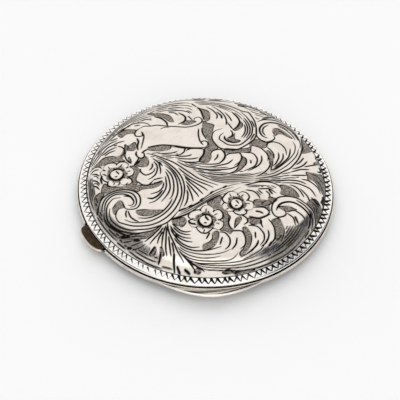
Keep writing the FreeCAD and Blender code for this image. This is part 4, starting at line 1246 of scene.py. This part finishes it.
# Wriggle-cut border: a graver walked from side to side round the sloping ring
lidBorder = {
    "teeth": 124,
    "jitter": 0.2,            # of a tooth, seeded
    "seed": 7,
    "headRadius": 32.85,
    "tailRadius": 34.05,
    "radiusJitter": 0.09,
    "headWidth": 0.56,
    "tailWidth": 0.2,
    "returnWidth": 0.26,
    "tailShare": 0.52,        # of the way to the next head
    "faintAt": 4.14,          # turn about which the cut is only pecked, and how far to each side
    "faintSpan": 0.22,
    "faintest": 0.45,
    "faintTail": 1.6,         # how strongly the tail, the head and the return thin out there
    "faintHead": 0.5,
    "faintReturn": 1.2,
    "bold": [(5.95, 1.05, 0.55), (4.66, 0.3, 0.5)],    # turn where it is cut boldly, span each way, how much
    "boldRise": 1.8,          # higher keeps more of the span at the full width
    "lineRadius": 32.45,      # circle cut where the border meets the crown
    "lineWidth": 0.4,
    "columns": 1856,
    "faceSteps": 24,
    "underSteps": 7,
    "sharpAngle": 38.0,       # degrees
    "wall": 0.5,              # depth of a cut for each mm of half width
    "fullCut": 0.05,
    "pinPlace": (33.0, 3.9),  # y and z of the hinge pin
    "pinRoom": 1.0,
    "pinHalf": 10.7,
}


def cutToSegment(x, y, a, b, widthA, widthB):
    # depth of a straight cut from a to b at points x, y: half its width there less the distance to it
    dx, dy = b[0] - a[0], b[1] - a[1]
    share = np.clip(((x - a[0]) * dx + (y - a[1]) * dy) / (dx ** 2 + dy ** 2), 0, 1)
    away = np.hypot(x - a[0] - share * dx, y - a[1] - share * dy)
    return (widthA + (widthB - widthA) * share) / 2 - away


def wriggleDepth(turn, r):
    # zigzag unrolled along the ring: from each wedge-shaped head out to a thin tail, back to the next head
    b = lidBorder
    chance = np.random.default_rng(b["seed"])
    pitch = 2 * math.pi / b["teeth"]
    heads = (np.arange(b["teeth"]) + chance.uniform(-1, 1, b["teeth"]) * b["jitter"]) * pitch
    headR = b["headRadius"] + chance.uniform(-1, 1, b["teeth"]) * b["radiusJitter"]
    tailR = b["tailRadius"] + chance.uniform(-1, 1, b["teeth"]) * b["radiusJitter"]
    middle = (b["headRadius"] + b["tailRadius"]) / 2
    deep = np.full(turn.shape, -1.0)
    tooth = np.floor(turn / pitch).astype(int)
    for shift in (-2, -1, 0, 1):
        k = tooth + shift
        near, after = k % b["teeth"], (k + 1) % b["teeth"]
        start = heads[near] + (k - near) * pitch
        end = heads[after] + (k + 1 - after) * pitch
        x = (turn - start) * middle
        gap = (end - start) * middle
        tail = (gap * b["tailShare"], tailR[near])
        faint = (1 - b["faintest"]) * np.exp(-((start - b["faintAt"]) / b["faintSpan"]) ** 2)
        bold = 0
        for place, reach, most in b["bold"]:
            limit = math.cos(reach)
            closeness = (np.cos(start - place) - limit) / (1 - limit)
            bold = bold + most * np.clip(b["boldRise"] * closeness, 0, 1)
        thin = b["tailWidth"] * (1 + bold - b["faintTail"] * faint)
        head = b["headWidth"] * (1 + bold - b["faintHead"] * faint)
        back = b["returnWidth"] * (1 + bold - b["faintReturn"] * faint)
        deep = np.maximum(deep, cutToSegment(x, r, (0, headR[near]), tail, head, thin))
        deep = np.maximum(deep, cutToSegment(x, r, tail, (gap, headR[after]), thin, back))
    return np.clip(deep, 0, None)


def lidBorderRing():
    # the border's closed section turned about the axis, its face sunk by the wriggle cut
    b, s = lidBorder, lidShape
    low, high = boxOf("lid_shell")
    rim, foot = high[0], low[2]
    borderTop = crownArcs()[0]
    slope = math.atan2(s["borderRise"], rim - s["bevel"] - s["borderRadius"])
    shoulder = math.radians(s["shoulderSlope"])
    faceR = np.linspace(s["borderRadius"], rim - s["bevel"], b["faceSteps"])
    faceZ = borderTop - (faceR - s["borderRadius"]) * math.tan(slope)
    underR = np.linspace(rim - s["sheet"], s["borderRadius"] - s["sheet"] * math.sin(slope), b["underSteps"])
    underZ = np.linspace(foot, borderTop - s["sheet"] * math.cos(slope), b["underSteps"])
    neckR = s["borderRadius"] - s["sheet"] * math.sin(shoulder)
    neckZ = borderTop - s["sheet"] * math.cos(shoulder)
    cornerR = rim - s["bevel"] * s["bevelCorner"]
    cornerZ = foot + s["band"] + s["bevel"] * (1 - s["bevelCorner"])
    r = np.concatenate([faceR, [cornerR, rim, rim], underR, [neckR]])
    z = np.concatenate([faceZ, [cornerZ, foot + s["band"], foot], underZ, [neckZ]])
    turn = np.linspace(0, 2 * math.pi, b["columns"], endpoint=False)[:, None]
    wriggle = wriggleDepth(*np.broadcast_arrays(turn, faceR[None, :]))
    circle = np.clip(b["lineWidth"] / 2 - np.abs(faceR - b["lineRadius"]), 0, None)
    depth = np.zeros((b["columns"], len(r)))
    depth[:, :len(faceR)] = np.maximum(wriggle, circle)
    depth[:, 0] = 0
    sunk = depth * b["wall"]
    ringR = r - sunk * math.sin(slope)
    points = np.stack([ringR * np.cos(turn), ringR * np.sin(turn), z - sunk * math.cos(slope)], -1)
    pinY, pinZ = b["pinPlace"]
    away = np.hypot(points[..., 1] - pinY, points[..., 2] - pinZ)
    close = (np.abs(points[..., 0]) < b["pinHalf"]) & (away < b["pinRoom"]) & (points[..., 1] > 0)
    grow = np.where(close, b["pinRoom"] / np.maximum(away, 1e-6), 1)
    points[..., 1] = pinY + (points[..., 1] - pinY) * grow
    points[..., 2] = pinZ + (points[..., 2] - pinZ) * grow
    index = np.arange(depth.size).reshape(depth.shape)
    after, onward = np.roll(index, -1, 0), np.roll(index, -1, 1)
    quads = np.stack([index, onward, np.roll(onward, -1, 0), after], -1).reshape(-1, 4)
    values = {"cut": np.clip(depth / b["fullCut"], 0, 1), "mattingAndPaintedShade": np.zeros(depth.shape)}
    points = points.reshape(-1, 3)
    piece = surfacePiece("lid_border", points, quads, finishes["border"], "lid", (), values)
    piece.data.set_sharp_from_angle(angle=math.radians(b["sharpAngle"]))
    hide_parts("lid_shell")


lidBorderRing()


thumbLip = {
    "halfSpan": 23.0,         # degrees to each side of the front
    "reach": 2.2,
    "point": 1.3,             # lower gives a sharper point at the front
    "pointRound": 0.004,      # softens the point itself
    "edgeShare": 0.5,         # of the reach, which the round edge takes where the reach is short
    "tuck": 0.25,             # how far it sits inside the base's wall
    "lines": (0.16, 0.34, 0.52, 0.68),    # engraved streaks, as shares of the reach
    "lineWidth": 0.36,
    "lineSwell": 0.38,        # share of the width that comes and goes along a streak
    "lineWaves": (5, 2),      # of the first streak, and added for each later one
    "lineShift": 1.7,
    "linesFrom": 0.1,         # share of the reach that stays bare by the rim
    "linesFade": 0.8,         # reach under which the streaks get shallow
    "underRimShade": (0.75, 0.55),    # painted shadow under the lid's rim: share of the reach where it starts, and how much there is
    "wall": 0.4,
    "fullCut": 0.05,
    "columns": 360,
    "topSteps": 61,
    "edgeSteps": 14,
    "underStride": 5,         # the underside is this much coarser
}


def thumbLipPiece():
    # a section with a round outer edge carried along the rim's front; its reach falls to nothing at the ends
    t = thumbLip
    low, high = boxOf("thumb_lip")
    rim = boxOf("base_shell")[1][0]
    top, bottom = high[2], low[2]
    middle, thick = (top + bottom) / 2, (top - bottom) / 2
    along = np.linspace(-1, 1, t["columns"])[:, None]
    soft = np.sqrt(along ** 2 + t["pointRound"]) - math.sqrt(t["pointRound"])
    reach = t["reach"] * (1 - np.clip(soft / soft.max(), 0, 1) ** t["point"])
    flat = np.linspace(0, 1, t["topSteps"])
    bend = np.linspace(90, -90, t["edgeSteps"] + 2)[1:-1]
    edgeOut = np.cos(np.radians(bend))
    edgeUp = np.sin(np.radians(bend))
    start = rim - t["tuck"]
    under = flat[::-t["underStride"]]
    edgeRound = np.minimum(thick, reach * t["edgeShare"])
    body = reach + t["tuck"] - edgeRound
    r = np.concatenate([start + body * flat, start + body + edgeRound * edgeOut, start + body * under], 1)
    ones = np.ones_like(along)
    z = np.concatenate([ones * top * np.ones_like(flat), middle + thick * edgeUp * ones,
                        ones * bottom * np.ones_like(under)], 1)
    share = (r[:, :len(flat)] - rim) / np.maximum(reach, 1e-6)
    gaps = []
    for k, line in enumerate(t["lines"]):
        wave = np.sin(along * (t["lineWaves"][0] + t["lineWaves"][1] * k) + t["lineShift"] * k)
        swell = 1 - t["lineSwell"] + t["lineSwell"] * wave
        gaps.append(t["lineWidth"] / 2 * swell - np.abs(share - line) * reach)
    depth = np.zeros(r.shape)
    fade = (share > t["linesFrom"]) * np.clip(reach / t["linesFade"], 0, 1)
    depth[:, :len(flat)] = np.clip(np.max(gaps, 0), 0, None) * fade
    z = z - depth * t["wall"]
    turn = np.radians(-90 + along * t["halfSpan"])
    points = np.stack([r * np.cos(turn), r * np.sin(turn), z], -1)
    index = np.arange(r.size).reshape(r.shape)
    onward = np.roll(index, -1, 1)
    quads = np.stack([index[:-1], onward[:-1], onward[1:], index[1:]], -1).reshape(-1, 4)
    ends = [index[0, ::-1].tolist(), index[-1].tolist()]
    # painted shadow under the lid's rim, put in the matting attribute
    underRimShade = np.zeros(r.shape)
    underRimShade[:, :len(flat)] = np.clip(1 - share / t["underRimShade"][0], 0, 1) * t["underRimShade"][1]
    values = {"cut": np.clip(depth / t["fullCut"], 0, 1), "mattingAndPaintedShade": underRimShade}
    points = points.reshape(-1, 3)
    material = finishes["engraved"]
    piece = surfacePiece("thumb_lip_engraved", points, quads, material, "base", ends, values)
    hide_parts("thumb_lip")


thumbLipPiece()


# The leaf's lug, worn down towards its front end
lug = {
    "bearing": 210.0,
    "halfWidth": 4.95,
    "inside": 31.4,
    "step": 35.4,             # outside the base's wall
    "tip": 37.2,
    "frontTaper": 1.9,        # lower falls away sooner
    "backTaper": 6.0,
    "endReach": 0.12,         # of the full reach
    "armBottom": 3.5,
    "bottom": 3.05,
    "top": 4.0,
    "nose": 0.45,
    "noseShare": 0.8,         # most of the reach that the round nose takes
    "columns": 90,
    "noseSteps": 13,
    "sharpAngle": 50.0,       # degrees
    "paleFrom": 62.0,          # degrees up the nose
}


def wornLug():
    # a lip with a round nose carried along the rim; its reach falls away to both ends as the root of one
    # less a power
    g = lug
    along = np.linspace(-1, 1, g["columns"])[:, None]
    power = np.where(along > 0, g["frontTaper"], g["backTaper"])
    reach = (g["tip"] - g["step"]) * np.sqrt(1 - np.abs(along) ** power * (1 - g["endReach"] ** 2))
    nose = np.minimum(g["nose"], reach * g["noseShare"])
    bend = np.linspace(90, -90, g["noseSteps"])
    ones = np.ones_like(along)
    noseR = g["step"] + reach - nose + nose * np.cos(np.radians(bend))
    noseZ = (g["top"] + g["bottom"]) / 2 + (g["top"] - g["bottom"]) / 2 * np.sin(np.radians(bend)) * ones
    r = np.hstack([g["inside"] * ones, noseR, g["step"] * ones, g["step"] * ones, g["inside"] * ones])
    z = np.hstack([g["top"] * ones, noseZ, g["bottom"] * ones, g["armBottom"] * ones, g["armBottom"] * ones])
    turn = math.radians(g["bearing"]) + along * math.asin(g["halfWidth"] / g["tip"])
    points = np.stack([r * np.cos(turn), r * np.sin(turn), z], -1)
    index = np.arange(r.size).reshape(r.shape)
    onward = np.roll(index, -1, 1)
    quads = np.stack([index[:-1], onward[:-1], onward[1:], index[1:]], -1).reshape(-1, 4)
    ends = [index[0, ::-1].tolist(), index[-1].tolist()]
    paleNose = np.zeros(r.shape)
    paleNose[:, 1:1 + len(bend)] = bend < g["paleFrom"]
    piece = surfacePiece("leaf_tab_worn", points.reshape(-1, 3), quads, finishes["lug"], "leaf", ends,
                         {"paleNose": paleNose})
    piece.data.set_sharp_from_angle(angle=math.radians(g["sharpAngle"]))
    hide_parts("leaf_tab")


wornLug()


# The other solids keep their shape and get the finish of their material slot, the base's shell one of its own
ownFinish = {"base_shell": "base"}
for part in frame["record"]["subparts"]:
    solid = frame["nodes"][part["node"]]
    solid.data.materials.clear()
    solid.data.materials.append(finishes[ownFinish.get(part["node"], part["material_slot"])])
